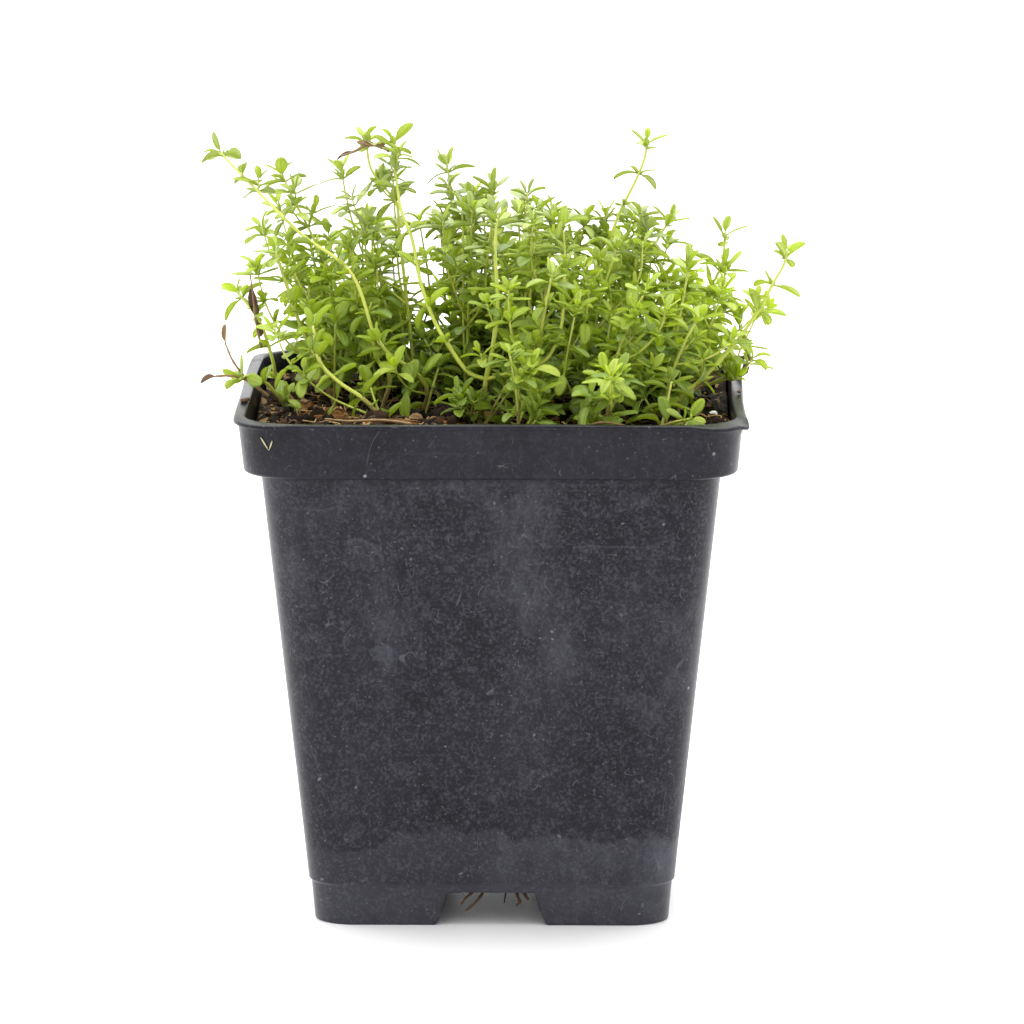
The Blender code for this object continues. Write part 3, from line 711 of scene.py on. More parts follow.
def pot_profile():
    """Half width and height, from the middle of the pot's underside out, up, over the rim and down inside, and
    the radius of each corner's fillet."""
    corners = [
        (6.0, FLOOR_UNDERSIDE_Z, 0.0),
        (FOOT_TOP_HALF - WALL - 0.1, FLOOR_UNDERSIDE_Z, 0.3),
        (FOOT_HALF - WALL, 0.0, 0.25),
        (FOOT_HALF, 0.0, 0.35),
        (FOOT_TOP_HALF, LEDGE_Z - LEDGE_HEIGHT, 0.25),
        (BODY_FOOT_HALF + 0.15, LEDGE_Z, 0.35),
        (BODY_TOP_HALF, SHOULDER_Z, 0.5),
        (BAND_FOOT_HALF, SHOULDER_Z, 0.75),
        (BAND_TOP_HALF, POT_HEIGHT - FLANGE_THICKNESS, 0.25),
        (FLANGE_HALF, POT_HEIGHT - FLANGE_THICKNESS, 0.30),
        (FLANGE_HALF, POT_HEIGHT, 0.38),
        (FLANGE_HALF - RIM_WIDTH, POT_HEIGHT, 0.45),
        (BAND_FOOT_HALF - WALL, SHOULDER_Z + WALL, 0.5),
        (BODY_TOP_HALF - WALL, SHOULDER_Z + WALL, 0.5),
        (BODY_FOOT_HALF - WALL, FLOOR_TOP_Z, 0.8),
        (6.0, FLOOR_TOP_Z, 0.0),
    ]
    return filleted([corner[:2] for corner in corners], [corner[2] for corner in corners], MOST_STEP)


def notch_lift(distance):
    """How high the foot's lower edge stands at a distance from the middle of a side: a trapezium's outline."""
    t = np.clip((NOTCH_FOOT_HALF - distance) / (NOTCH_FOOT_HALF - NOTCH_TOP_HALF), 0.0, 1.0)
    return NOTCH_HEIGHT * (0.45 * t + 0.55 * smooth(t))


def make_pot():
    """The profile swept round the rounded square: a point is the outline's x and y times the profile's half
    width, at the profile's height, bent a little as thin plastic is."""
    outline, bend = square_outline()
    profile = pot_profile()
    half, height = profile[:, :1], profile[:, 1:]
    x, y = half * outline[:, 0], half * outline[:, 1]
    z = np.broadcast_to(height, x.shape).copy()

    along_side = np.where(np.abs(outline[:, 0]) > np.abs(outline[:, 1]), outline[:, 1], outline[:, 0])
    edge_lift = notch_lift(np.abs(along_side) * FOOT_HALF)
    skirt = (half > FOOT_HALF - 2 * WALL) & (height < FLOOR_UNDERSIDE_Z) & (edge_lift > 0)
    z = np.where(skirt, edge_lift + z * (FLOOR_UNDERSIDE_Z - edge_lift) / FLOOR_UNDERSIDE_Z, z)

    rim = smooth((height - SHOULDER_Z) / (POT_HEIGHT - SHOULDER_Z))
    body = smooth((height - LEDGE_Z) / 12.0) * (1.0 - rim)
    flat = 1.0 - np.abs(along_side) ** 2 / (1.0 - CORNER_SHARE) ** 2
    flat = np.clip(flat, 0.0, 1.0) * (bend == 0)
    front = outline[:, 1] < -0.99
    right = outline[:, 0] > 0.99
    left = outline[:, 0] < -0.99
    sag = body * flat * -0.35 + rim * flat * (0.10 * front - 0.35 * right + 0.25 * left)
    sag = sag + rim * 0.12 * np.sin(outline[:, 0] * 7.0 + outline[:, 1] * 5.0)
    x, y = x * (1.0 + sag / FLANGE_HALF), y * (1.0 + sag / FLANGE_HALF)
    flange = smooth((height - (POT_HEIGHT - 2.0)) / 1.5) * (half > FLANGE_HALF - 1.2)
    pulled = np.maximum(0.0, outline[:, 0] * 0.8 - outline[:, 1] * 0.8 - 0.75) * (outline[:, 0] > 0)
    pinch = np.exp(-(((np.arctan2(outline[:, 1], outline[:, 0]) + 0.70) / 0.028) ** 2)) * flange
    x, y = x + pinch * 0.6, y - pinch * 0.15
    ripple = rim * flat * 0.12 * np.sin(outline[:, 0] * 4.0 + 1.0)
    z = z - flange * bend * (0.2 + 0.6 * pulled) - pinch * 0.7 + ripple

    lip = int(np.argmax(half + height))
    order = np.arange(len(half))[:, None]
    outer = order <= lip
    # Edge wear with a painted edge highlight: lighter bands along the ledge, shoulder, lip top and bottom edge,
    # stronger round the corners
    edge_wear_and_highlight = np.zeros_like(height)
    for level, reach in ((LEDGE_Z - 0.2, 0.75), (SHOULDER_Z + 0.2, 0.9), (POT_HEIGHT - 0.4, 1.0), (0.0, 0.6)):
        edge_wear_and_highlight = np.maximum(edge_wear_and_highlight, np.exp(-(((height - level) / reach) ** 2)) * outer)
    edge_wear_and_highlight = np.broadcast_to(edge_wear_and_highlight, x.shape) * (0.7 + 0.3 * bend)
    soiled = np.broadcast_to(smooth((9.0 - height) / 9.0) + smooth((height - 86.0) / 6.0) * (half < 44), x.shape)
    # Painted highlight mask: the rim's top and inner lip, strongest at the back and sides and weakest at the front
    top = smooth((height - POT_HEIGHT + 3.2) / 2.0) * (order >= lip)
    top = top * (0.22 + 0.78 * smooth((outline[:, 1] + 1.0) / 0.16))
    wear = np.stack([edge_wear_and_highlight, soiled, top], -1).reshape(-1, 3)

    points = np.stack([x, y, z], -1).reshape(-1, 3)
    poles = np.array([[0, 0, FLOOR_UNDERSIDE_Z], [0, 0, FLOOR_TOP_Z]])
    faces = lathe_faces(len(profile), len(outline))
    shell = Shell()
    shell.add(np.vstack([points, poles]), faces, wear=np.vstack([wear, np.zeros((2, 3))]))
    pot = shell.make("nursery_pot", moulded_plastic())
    cut_drain_holes(pot)
    return pot


def cut_drain_holes(pot):
    """Five round holes through the raised floor, one in the middle and one towards each corner."""
    places = [(0.0, 0.0)] + [(sx * DRAIN_OFFSET, sy * DRAIN_OFFSET) for sx in (-1, 1) for sy in (-1, 1)]
    shell = Shell()
    for x, y in places:
        line = np.array([[x, y, FLOOR_UNDERSIDE_Z - WALL], [x, y, FLOOR_TOP_Z + WALL]])
        points, faces = tube(line, [DRAIN_RADIUS] * 2, 32)
        shell.add(points, faces)
    cutter = shell.make("drain_cutter", pot.data.materials[0])
    boolean = pot.modifiers.new("drains", "BOOLEAN")
    boolean.object, boolean.operation, boolean.solver = cutter, "DIFFERENCE", "EXACT"
    apply_modifiers(pot)
    bpy.data.objects.remove(cutter)


def apply_modifiers(piece):
    """Keeps the evaluated mesh in place of the modifiers."""
    depsgraph = bpy.context.evaluated_depsgraph_get()
    mesh = bpy.data.meshes.new_from_object(piece.evaluated_get(depsgraph))
    piece.modifiers.clear()
    piece.data = mesh


# ---- Soil ----


def ground(x, y):
    """Height of the soil's uneven top, before its crumbs."""
    swell = 0.7 * np.sin(x / 9 + 0.6) * np.cos(y / 11 - 0.4)
    return SOIL_Z + swell + 0.4 * np.sin(x / 4.3 - y / 5.1)


def crumbled(x, y):
    """The soil's top with its clods and crumbs: noise of shrinking size added to the ground."""
    flat = np.stack([x.ravel(), y.ravel(), np.zeros(x.size)], -1)
    rough = sum(size * value_noise(flat, scale, seed) for size, scale, seed in (
        (0.9, 6.5, 3), (0.6, 2.6, 4), (0.38, 1.2, 5), (0.2, 0.6, 6),
    ))
    return ground(x, y) + rough.reshape(x.shape)


def soil_level(x, y):
    """The crumbled height at one place."""
    return float(crumbled(np.array([float(x)]), np.array([float(y)]))[0])


def make_soil():
    """Rings of the rounded square: the block's sides and base in a few rings, its top in many, shrinking to the
    middle, each point at the crumbled height."""
    outline, _ = square_outline()
    turn = np.linspace(0, len(outline), SOIL_COLUMNS, endpoint=False)
    closed = np.vstack([outline, outline[:1]])
    outline = np.stack([np.interp(turn, np.arange(len(closed)), closed[:, axis]) for axis in (0, 1)], -1)
    shares = np.linspace(1.0, 0.03, SOIL_RINGS)
    half = np.concatenate([[width for width, _ in SOIL_SIDES], SOIL_HALF * shares])
    x, y = half[:, None] * outline[:, 0], half[:, None] * outline[:, 1]
    z = crumbled(x, y)
    for row, (_, level) in enumerate(SOIL_SIDES):
        z[row] = level
    points = np.stack([x, y, z], -1).reshape(-1, 3)
    poles = np.array([[0, 0, SOIL_SIDES[0][1]], [0, 0, z[-1].mean()]])
    shell = Shell()
    shell.add(np.vstack([points, poles]), lathe_faces(len(half), len(outline)))
    soil = shell.make("potting_soil", potting_mix())
    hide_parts("soil")
    return soil


def lump(columns=7, rows=5):
    """A unit ball as rings of points with two poles."""
    polar = np.pi * (np.arange(rows) + 0.8) / (rows + 0.6)
    turn = 2 * np.pi * np.arange(columns) / columns
    radius = np.sin(polar)[:, None]
    ring = np.stack(np.broadcast_arrays(radius * np.cos(turn), radius * np.sin(turn), -np.cos(polar)[:, None]), -1)
    return np.vstack([ring.reshape(-1, 3), [(0, 0, -1), (0, 0, 1)]]), lathe_faces(rows, columns)


def turned(points, angles):
    """Points turned about Z, then X, then Z again."""
    for axis, angle in zip("ZXZ", angles):
        points = points @ np.array(Matrix.Rotation(angle, 3, axis)).T
    return points


def scatter_lumps(shell, rng, count, size, region, tones, jitter, shape=(1.0, 0.75, 0.6), sink=0.3):
    """Irregular lumps lying in the soil's surface: a ball stretched, dented by random amounts and turned."""
    ball, faces = lump()
    (x0, x1), (y0, y1) = region
    for _ in range(count):
        x, y = rng.uniform(x0, x1), rng.uniform(y0, y1)
        radius = size[0] + (size[1] - size[0]) * rng.random() ** 2.5
        dents = 1.0 + rng.uniform(-jitter, jitter, (len(ball), 1))
        points = turned(ball * dents * np.array(shape) * radius, rng.uniform(0, 2 * np.pi, 3) * (1, 0.18, 1))
        level = soil_level(x, y) + radius * shape[2] * (1 - 2 * sink)
        tone = (rng.uniform(*tones), rng.random(), 0.0)
        shell.add(points + (x, y, level), faces, tone=tone, place=ball)


def make_crumbs():
    """Peat crumbs all over the soil and paler grains among them, then finer and larger ones where it is bare."""
    rng = np.random.default_rng(SEED)
    shell = Shell()
    scatter_lumps(shell, rng, 1500, (0.2, 0.95), SOIL_REGION, (0.0, 0.8), 0.34)
    scatter_lumps(shell, rng, 380, (0.2, 0.7), SOIL_REGION, (0.84, 1.0), 0.34)
    scatter_lumps(shell, rng, 420, (0.16, 0.6), BARE_CORNER, (0.55, 1.0), 0.4)
    scatter_lumps(shell, rng, 230, (0.6, 1.8), BARE_CORNER, (0.1, 0.84), 0.4, (1.0, 0.85, 0.75), 0.15)
    return shell.make("soil_crumbs", crumb())


def make_bark():
    """Chips of bark: each a bundle of slivers, which are balls drawn out along the grain and laid side by side."""
    rng = np.random.default_rng(SEED + 1)
    ball, faces = lump(6, 7)
    shell = Shell()
    chips = [
        (-30.0, -19.0, 6.2, 1.9, 0.8, 12), (-29.0, -8.5, 4.6, 1.5, 0.7, -24), (-12.0, -16.0, 4.0, 1.7, 0.8, 8),
        (33.0, 33.0, 5.0, 1.5, 0.8, 40), (-26.0, -30.0, 5.4, 1.8, 0.7, -8), (-37.0, -30.0, 3.6, 1.5, 0.6, 35),
        (-16.0, -29.5, 4.0, 1.4, 0.6, -16), (30.5, -33.0, 3.6, 1.2, 0.6, 6), (35.0, -30.0, 3.6, 1.1, 0.5, -30),
        (-34.0, -3.0, 4.2, 1.3, 0.7, 62), (-8.0, -33.5, 3.0, 1.2, 0.5, 20), (22.0, -35.0, 2.8, 1.0, 0.5, -12),
        (-21.0, -36.0, 3.6, 1.0, 0.5, 4), (-33.0, -36.0, 3.0, 1.2, 0.5, -18), (6.0, -36.0, 2.6, 1.0, 0.5, 14),
    ]
    for x, y in rng.uniform(-38, 38, (26, 2)):
        size = (rng.uniform(1.6, 3.6), rng.uniform(0.6, 1.2), rng.uniform(0.35, 0.6))
        chips.append((x, y, *size, rng.uniform(0, 180)))
    for x, y, length, width, thick, angle in chips:
        level = soil_level(x, y) + thick * 0.4
        for place in np.linspace(-1.0, 1.0, 3 + int(width * 3)):
            ragged = 1.0 + 0.18 * rng.standard_normal((len(ball), 1)).clip(-1.6, 1.6)
            size = (length * rng.uniform(0.45, 0.95), 0.13 + width * 0.22, thick * rng.uniform(0.35, 0.75))
            points = np.sign(ball) * np.abs(ball) ** (0.8, 0.9, 0.8) * ragged * size
            points = turned(points, (rng.uniform(-0.14, 0.14), 0.0, 0.0))
            points = points + (length * rng.uniform(-0.3, 0.3), width * place, thick * rng.uniform(0.0, 0.9))
            points[:, 2] += 0.1 * points[:, 0] * rng.uniform(-1, 1)
            points = turned(points, (math.radians(angle), 0.0, 0.0))
            shell.add(points + (x, y, level), faces, tone=(rng.random(), 0, 0), place=ball)
    chips = shell.make("bark_chips", bark())
    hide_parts("bark_chip_1", "bark_chip_2", "bark_chip_3", "bark_chip_4")
    return chips


def make_perlite():
    """White grains on the soil."""
    rng = np.random.default_rng(SEED + 2)
    ball, faces = lump(9, 7)
    shell = Shell()
    grains = [(39.2, -13.0, 1.0), (-24.5, 37.5, 1.1), (12.0, 31.0, 0.8), (-37.0, 14.0, 0.7), (35.0, -31.0, 0.6)]
    for x, y, radius in grains:
        points = ball * radius * (1, 0.85, 0.8) * (1.0 + rng.uniform(-0.18, 0.18, (len(ball), 1)))
        level = soil_level(x, y) + radius * 0.6
        shell.add(points + (x, y, level), faces, place=ball)
    grains = shell.make("perlite_grains", perlite())
    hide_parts("perlite_grain_1", "perlite_grain_2")
    return grains


def make_fibres():
    """Coir fibres and rootlets lying on the soil: thin tubes along wandering paths."""
    rng = np.random.default_rng(SEED + 3)
    shell = Shell()
    for number in range(170):
        x, y = rng.uniform(-38, 38, 2) if number < 110 else rng.uniform((-38, -38), (-4, -12))
        heading, length = rng.uniform(0, 2 * np.pi), rng.uniform(3.0, 11.0)
        turns = heading + np.cumsum(rng.uniform(-0.5, 0.5, 5))
        steps = np.cumsum(np.stack([np.cos(turns), np.sin(turns)], -1), axis=0) * length / 5
        line = np.clip(np.vstack([[0, 0], steps]) + (x, y), -40.5, 40.5)
        level = crumbled(line[:, 0], line[:, 1]) + 0.35 + rng.uniform(0.0, 0.9, 6)
        path = smooth_path(np.column_stack([line, level]), 1.0)
        radii = np.full(len(path), rng.uniform(0.08, 0.2)) * np.linspace(1.0, 0.6, len(path))
        points, faces = tube(path, radii, 5)
        shell.add(points, faces, tone=(rng.random(), 0, 0))
    return shell.make("soil_fibres", fibre())


def make_roots():
    """Fine roots that hang from the drain holes and show in the notches."""
    rng = np.random.default_rng(SEED + 4)
    shell = Shell()
    lines = [
        [(-2.0, -24.0, 6.6), (-1.5, -27.5, 5.2), (-3.0, -29.0, 3.4), (-4.6, -29.6, 2.2)],
        [(-2.6, -24.5, 6.6), (-3.2, -28.0, 5.4), (-4.4, -29.2, 4.6), (-5.4, -29.4, 3.3)],
        [(4.2, -26.0, 6.6), (4.6, -28.6, 4.8), (5.2, -29.2, 3.8), (4.4, -29.4, 3.2)],
        [(5.6, -26.0, 6.6), (5.9, -28.8, 5.2), (6.6, -29.2, 4.2)],
    ]
    shown = len(lines)
    for angle in rng.uniform(0, 2 * np.pi, 12):
        x, y = 17 * np.cos(angle), 17 * np.sin(angle)
        lines.append([(x, y, 6.8), (x + rng.uniform(-2, 2), y + rng.uniform(-2, 2), 4.0), (x * 1.2, y * 1.2, 1.6)])
    for number, line in enumerate(lines):
        path = smooth_path(line, 0.5)
        radii = (rng.uniform(0.16, 0.3) + 0.22 * (number < shown)) * np.linspace(1.0, 0.5, len(path))
        points, faces = tube(path, radii, 6)
        shell.add(points, faces, tone=(rng.uniform(0.0, 0.12), 0, 0), place=(1, 0, 0))
    return shell.make("hanging_roots", dried())


# ---- Leaves and stems ----

# Down a leaf: share of its length, and half width there as a share of the widest
LEAF_ROWS = np.array([0.0, 0.13, 0.23, 0.38, 0.58, 0.79, 0.94])
LEAF_WIDTHS = np.array([0.08, 0.12, 0.52, 0.89, 1.0, 0.83, 0.47])
# Across a leaf: left edge, left half, midrib, right half, right edge, then back along the underside
LEAF_ACROSS = np.array([1.0, 0.52, 0.0, -0.52, -1.0, 0.0])
LEAF_TOP = np.array([0.0, 1.0, 0.75, 1.0, 0.0, -1.0])


def add_leaves(shell, material, leaves):
    """Leaves as rings of six points down each leaf. A point is root + the integral of the leaf's bending
    direction down to its row + its width across + its cup and half its thickness along the leaf's up side."""
    if not leaves:
        return
    columns = list(zip(*leaves))
    root, out, up = (np.array(column, float) for column in columns[:3])
    length, width, arch, cup, roll = (np.array(column, float)[:, None] for column in columns[3:8])
    tone = np.array(columns[8], float)
    out = unit(out)
    up = unit(up - out * np.sum(up * out, -1, keepdims=True))
    across = np.cross(up, out)
    rows = LEAF_ROWS[None, :]
    angle = -arch * (rows**1.3 + 0.25 * np.sin(2.5 * rows))
    steps = np.diff(LEAF_ROWS, prepend=0.0)[None, :]
    run = np.cumsum(np.cos(angle) * steps, axis=1) * length
    climb = np.cumsum(np.sin(angle) * steps, axis=1) * length
    half = LEAF_WIDTHS[None, :] * width / 2
    spread = LEAF_ACROSS[None, None, :]
    lift = cup[..., None] * np.abs(spread) ** 1.6 * half[..., None]
    lift = lift + roll[..., None] * spread * half[..., None] * rows[..., None]
    thick = 0.10 + 0.06 * (1 - rows[..., None])
    blade = lift + LEAF_TOP[None, None, :] * thick
    normal_x, normal_z = -np.sin(angle)[..., None] * blade, np.cos(angle)[..., None] * blade
    local_x, local_z = run[..., None] + normal_x, climb[..., None] + normal_z
    local_y = spread * half[..., None] * (1.0 - 0.18 * np.abs(cup[..., None]))
    points = (
        root[:, None, None] + out[:, None, None] * local_x[..., None]
        + across[:, None, None] * local_y[..., None] + up[:, None, None] * local_z[..., None]
    )
    tail = -arch[:, 0] * 1.15
    tip = root + out * (run[:, -1] + 0.06 * length[:, 0] * np.cos(tail))[:, None]
    tip += up * (climb[:, -1] + 0.06 * length[:, 0] * np.sin(tail))[:, None]
    count, across_count = len(root), len(LEAF_ACROSS)
    ring = len(LEAF_ROWS) * across_count
    points = np.concatenate([points.reshape(count, ring, 3), root[:, None], tip[:, None]], axis=1)
    start = (np.arange(count) * (ring + 2))[:, None, None]
    faces = [
        (start + face[None]).reshape(-1, face.shape[1]) for face in lathe_faces(len(LEAF_ROWS), across_count)
    ]
    under = np.where(LEAF_TOP < 0.0, 1.0, 0.5 * (LEAF_TOP == 0.0))
    place = np.stack(np.broadcast_arrays(LEAF_ACROSS, LEAF_ROWS[:, None], under), -1).reshape(-1, 3)
    place = np.vstack([place, [0, 0, 0.5], [0, 1, 0.5]])
    shell.add(
        points.reshape(-1, 3), faces, material,
        place=np.tile(place, (count, 1)), tone=np.repeat(tone, ring + 2, axis=0),
    )


class Shoot:
    """A stem with pairs of leaves at its nodes and a rosette at its tip.

    size is a leaf's length, thick the stem's radius at its base and tip, bare the length without leaves, gap the
    distance between pairs, tufts the chance of small leaves beside a leaf, woody how brown the base is, plump a
    leaf's width as a share of its length, tilt how far leaves stray, and deep how old and dark its leaves are.
    """

    def __init__(self, points, rng, size, thick, bare, gap, tufts, woody, plump, tilt=0.34, deep=0.0):
        self.path = smooth_path(points)
        steps = np.linalg.norm(np.diff(self.path, axis=0), axis=1)
        self.reach = np.concatenate([[0.0], np.cumsum(steps)])
        self.length = self.reach[-1]
        self.rng, self.size, self.thick = rng, size, thick
        self.tufts, self.woody, self.plump, self.tilt, self.deep = tufts, woody, plump, tilt, deep
        spin = rng.uniform(0, 2 * math.pi)
        self.vigour = 0.28 * math.cos(7.0 * spin)
        self.start = (math.cos(spin), math.sin(spin), 0.05)
        self.along, self.side, self.lift = path_frames(self.path, self.start)
        self.nodes = self.choose_nodes(bare, gap)

    def choose_nodes(self, bare, gap):
        """Distances of the leaf pairs from the base: a close rosette at the tip, wider apart going down."""
        back = list(ROSETTE_GAPS)
        while back[-1] < self.length - bare:
            back.append(back[-1] + self.rng.uniform(*gap) * (0.7 if len(back) < 5 else 1.0))
        return [self.length - distance for distance in back if self.length - distance > min(bare, self.length / 3)]

    def at(self, distance):
        """The stem's point, direction and two sides at a distance from its base."""
        index = min(int(np.searchsorted(self.reach, distance)), len(self.path) - 1)
        return self.path[index], self.along[index], self.side[index], self.lift[index]

    def add_stem(self, shell, material):
        """The stem as a tapered tube, its radius swollen at each node by a bell curve."""
        share = self.reach / self.length
        radii = self.thick[0] + (self.thick[1] - self.thick[0]) * share**0.8
        for node in self.nodes[len(ROSETTE):]:
            radii = radii * (1.0 + 0.22 * np.exp(-(((self.reach - node) / 0.45) ** 2)))
        keep = np.unique(np.append(np.arange(0, len(self.path), 2), len(self.path) - 1))
        points, faces = tube(self.path[keep], radii[keep], STEM_COLUMNS, self.start)
        woody = self.woody * smooth((16.0 - self.reach[keep]) / 13.0)
        ridge = np.tile(np.cos(np.arange(STEM_COLUMNS) * np.pi), len(keep))
        place = np.stack([ridge, np.repeat(share[keep], STEM_COLUMNS), np.repeat(woody, STEM_COLUMNS)], -1)
        place = np.vstack([place, place[0], place[-1]])
        shell.add(points, faces, material, place=place, tone=(self.rng.random(), 0, 0))

    def leaves(self):
        """Each leaf as its root, direction, up side, length, width, arch, cup, roll and tone."""
        rng = self.rng
        found = []
        for number, distance in enumerate(self.nodes):
            here, along, side, lift = self.at(distance)
            turn = math.pi / 2 * (number % 2) + rng.uniform(-0.35, 0.35)
            if number < len(ROSETTE):
                share, angle, youth = ROSETTE[number]
            else:
                share, angle = rng.uniform(0.9, 1.1), rng.uniform(66, 94)
                youth = max(0.0, 0.36 - 0.05 * number)
            size, spread = self.size * share, math.radians(angle)
            for half in (0, 1):
                around = turn + math.pi * half + rng.uniform(-0.2, 0.2)
                found.append(self.leaf(here, along, side, lift, around, spread, size, youth))
                if number >= 2 and rng.random() < self.tufts:
                    for _ in range(rng.choice((1, 2, 2, 3))):
                        lean = around + rng.uniform(-1.0, 1.0)
                        small = size * rng.uniform(0.40, 0.68)
                        found.append(self.leaf(here, along, side, lift, lean, rng.uniform(0.3, 1.1), small, 0.55))
        return found

    def leaf(self, here, along, side, lift, around, spread, size, youth):
        """One leaf, turned round the stem and spread from it by angles; it points up where the pot's wall is."""
        rng = self.rng
        spread += rng.uniform(-0.16, 0.16)
        radial = math.cos(around) * side + math.sin(around) * lift
        out = radial * math.sin(spread) + along * math.cos(spread)
        up = along * math.sin(spread) - radial * math.cos(spread)
        up = up + np.array([0, 0, 0.55]) + np.array([rng.uniform(-self.tilt, self.tilt) for _ in range(3)])
        length = size * rng.uniform(0.82, 1.15)
        width = length * rng.uniform(*self.plump)
        tip = here + unit(out) * length
        tip_limit, root_limit = WALL_CLEARANCE
        low = min(tip[2], here[2]) < POT_HEIGHT + 1.5
        if low and max(abs(tip[:2])) > tip_limit and max(abs(here[:2])) < root_limit:
            out = out * (0.35, 0.35, 0.0) + (0, 0, 1.0)
        arch = rng.uniform(-0.15, 0.8)
        cup = rng.uniform(0.05, 0.65)
        roll = rng.uniform(-0.3, 0.3)
        youth = (youth + self.vigour + rng.uniform(-0.25, 0.25)) * (1.0 - self.deep)
        tone = (rng.random() * (1.0 - 0.6 * self.deep), min(1.0, max(0.0, youth)), rng.random())
        return here + radial * 0.15, out, up, length, width, arch, cup, roll, tone

    def buds(self, share, lengths):
        """Short side shoots from the angles of the leaves, each with its own rosette."""
        rng = self.rng
        found = []
        for number, distance in enumerate(self.nodes[len(ROSETTE):]):
            here, along, side, lift = self.at(distance)
            for half in (0, 1):
                if rng.random() > share:
                    continue
                around = math.pi / 2 * (number % 2 + 1) + math.pi * half + rng.uniform(-0.4, 0.4)
                radial = math.cos(around) * side + math.sin(around) * lift
                length = rng.uniform(*lengths) * (0.7 + 0.5 * min(1.0, (self.length - distance) / 20.0))
                lean = unit(radial * rng.uniform(0.6, 1.0) + along * 0.6 + np.array([0, 0, 0.35]))
                rise = unit(lean + np.array([0, 0, 0.5]))
                points = [here, here + lean * length * 0.5, here + lean * length * 0.5 + rise * length * 0.5]
                found.append(Shoot(
                    points, rng, self.size * 0.88, (0.2, 0.14), 2.2, (2.8, 4.2), 0.35, 0.0,
                    self.plump, self.tilt, self.deep,
                ))
        return found


def rooted(points):
    """The same line, carried down into the soil."""
    x, y, z = points[0]
    return [(x, y, z - ROOT_DEPTH), *points]


def crown_height(x, y):
    """Height of the leafy crown over a place: a dome, flat in the middle, that falls by a power of the distance
    from its own middle along each axis, but not below a quarter of its height."""
    fall = (abs(x + 2) / 56) ** 3.2 + (abs(y - 4) / 50) ** 3.0
    return SOIL_Z + (CROWN_TOP_Z - SOIL_Z) * max(0.25, 1 - fall)


def filler_stems():
    """Stems that fill the pot: one from each cell of a grid, leaning outwards, none on the bare front left."""
    rng = random.Random(SEED)
    stems = {}
    number = 0
    for row in range(GRID_COUNT):
        for column in range(GRID_COUNT):
            x = (column - (GRID_COUNT - 1) / 2) * GRID_PITCH + rng.uniform(-2.5, 2.5)
            y = (row - (GRID_COUNT - 1) / 2) * GRID_PITCH + rng.uniform(-2.5, 2.5)
            lean_x, lean_y = rng.uniform(-3, 3), rng.uniform(-3, 3)
            drop = rng.uniform(0, 7)
            if x < -4 and y < -4:
                continue
            number += 1
            tip_x, tip_y = 1.22 * x + lean_x, 1.14 * y + lean_y
            top = crown_height(tip_x, tip_y) - drop
            stems[f"sprig_{number:02d}"] = [
                (x, y, SOIL_Z),
                (x + 0.1 * (tip_x - x), y + 0.1 * (tip_y - y), SOIL_Z + 0.35 * (top - SOIL_Z)),
                (x + 0.5 * (tip_x - x), y + 0.5 * (tip_y - y), SOIL_Z + 0.7 * (top - SOIL_Z)),
                (tip_x, tip_y, top),
            ]
    return {name: points for name, points in stems.items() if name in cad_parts}


def side_shoots(points, rng, count, wide, drop):
    """Thin shoots that leave a stem low down and rise beside it, each towards its own side."""
    path = smooth_path(points)
    first = rng.uniform(0, 2 * math.pi)
    shoots = []
    for number in range(count):
        around = first + 2 * math.pi * number / count + rng.uniform(-0.5, 0.5)
        start = path[int(len(path) * rng.uniform(0.06, 0.55))]
        reach = rng.uniform(*wide)
        tip = path[-1] + np.array([reach * math.cos(around), reach * math.sin(around), -rng.uniform(*drop)])
        if tip[2] < start[2] + 4:
            continue
        sway = np.array([rng.uniform(-1.2, 1.2), rng.uniform(-1.2, 1.2), 0.0])
        low = start + (tip - start) * (0.5, 0.5, 0.24) + sway
        high = start + (tip - start) * (0.85, 0.85, 0.62) - sway * 0.5
        shoots.append([start, low, high, tip])
    return shoots


# How a kind of sprig grows: leaf length and its width as a share of it, stem radii at base and tip, the distance
# between leaf pairs, the chance of small leaves beside a leaf, the share of leaf angles with a bud shoot and that
# shoot's length, the number of side shoots with their reach and drop, and the number of short shoots near the soil
Habit = namedtuple("Habit", "size plump thick gap tufts buds shoots wide drop skirt")
HABITS = {
    "airy": Habit(4.5, (0.40, 0.52), (0.42, 0.24), (6.0, 9.0), 0.55, (0.12, (2.0, 3.5)), 0, (3, 6), (6, 16), 0),
    "lead": Habit(4.7, (0.40, 0.52), (0.60, 0.30), (6.0, 9.0), 0.8, (0.22, (2.0, 4.5)), 0, (3, 6), (6, 16), 3),
    "full": Habit(4.9, (0.38, 0.5), (0.42, 0.22), (6.2, 9.4), 0.85, (0.24, (2.5, 5.0)), 4, (3, 8), (5, 18), 3),
    "sparse": Habit(5.4, (0.42, 0.55), (0.45, 0.31), (5.0, 7.5), 0.25, (0.15, (2.5, 4.0)), 1, (4, 8), (0, 5), 1),
    "bushy": Habit(4.9, (0.42, 0.56), (0.58, 0.36), (4.4, 6.4), 0.7, (0.35, (2.5, 5.0)), 4, (4, 10), (-1, 6), 2),
    "front": Habit(4.8, (0.40, 0.53), (0.38, 0.24), (5.6, 8.4), 0.6, (0.16, (2.5, 4.5)), 2, (3, 8), (-1, 9), 1),
    "crown": Habit(4.9, (0.38, 0.5), (0.34, 0.20), (6.2, 9.6), 0.85, (0.20, (2.5, 5.0)), 4, (3, 8), (-1, 12), 3),
}
KINDS = {
    "airy": {"sprig_far_left", "sprig_tall_right", "sprig_far_right", "sprig_left_rim", "sprig_trailing"},
    "lead": {"sprig_centre"},
    "sparse": {"sprig_low_centre", "sprig_front_left", "sprig_bent", "sprig_left"},
    "bushy": {"sprig_low_right"},
}


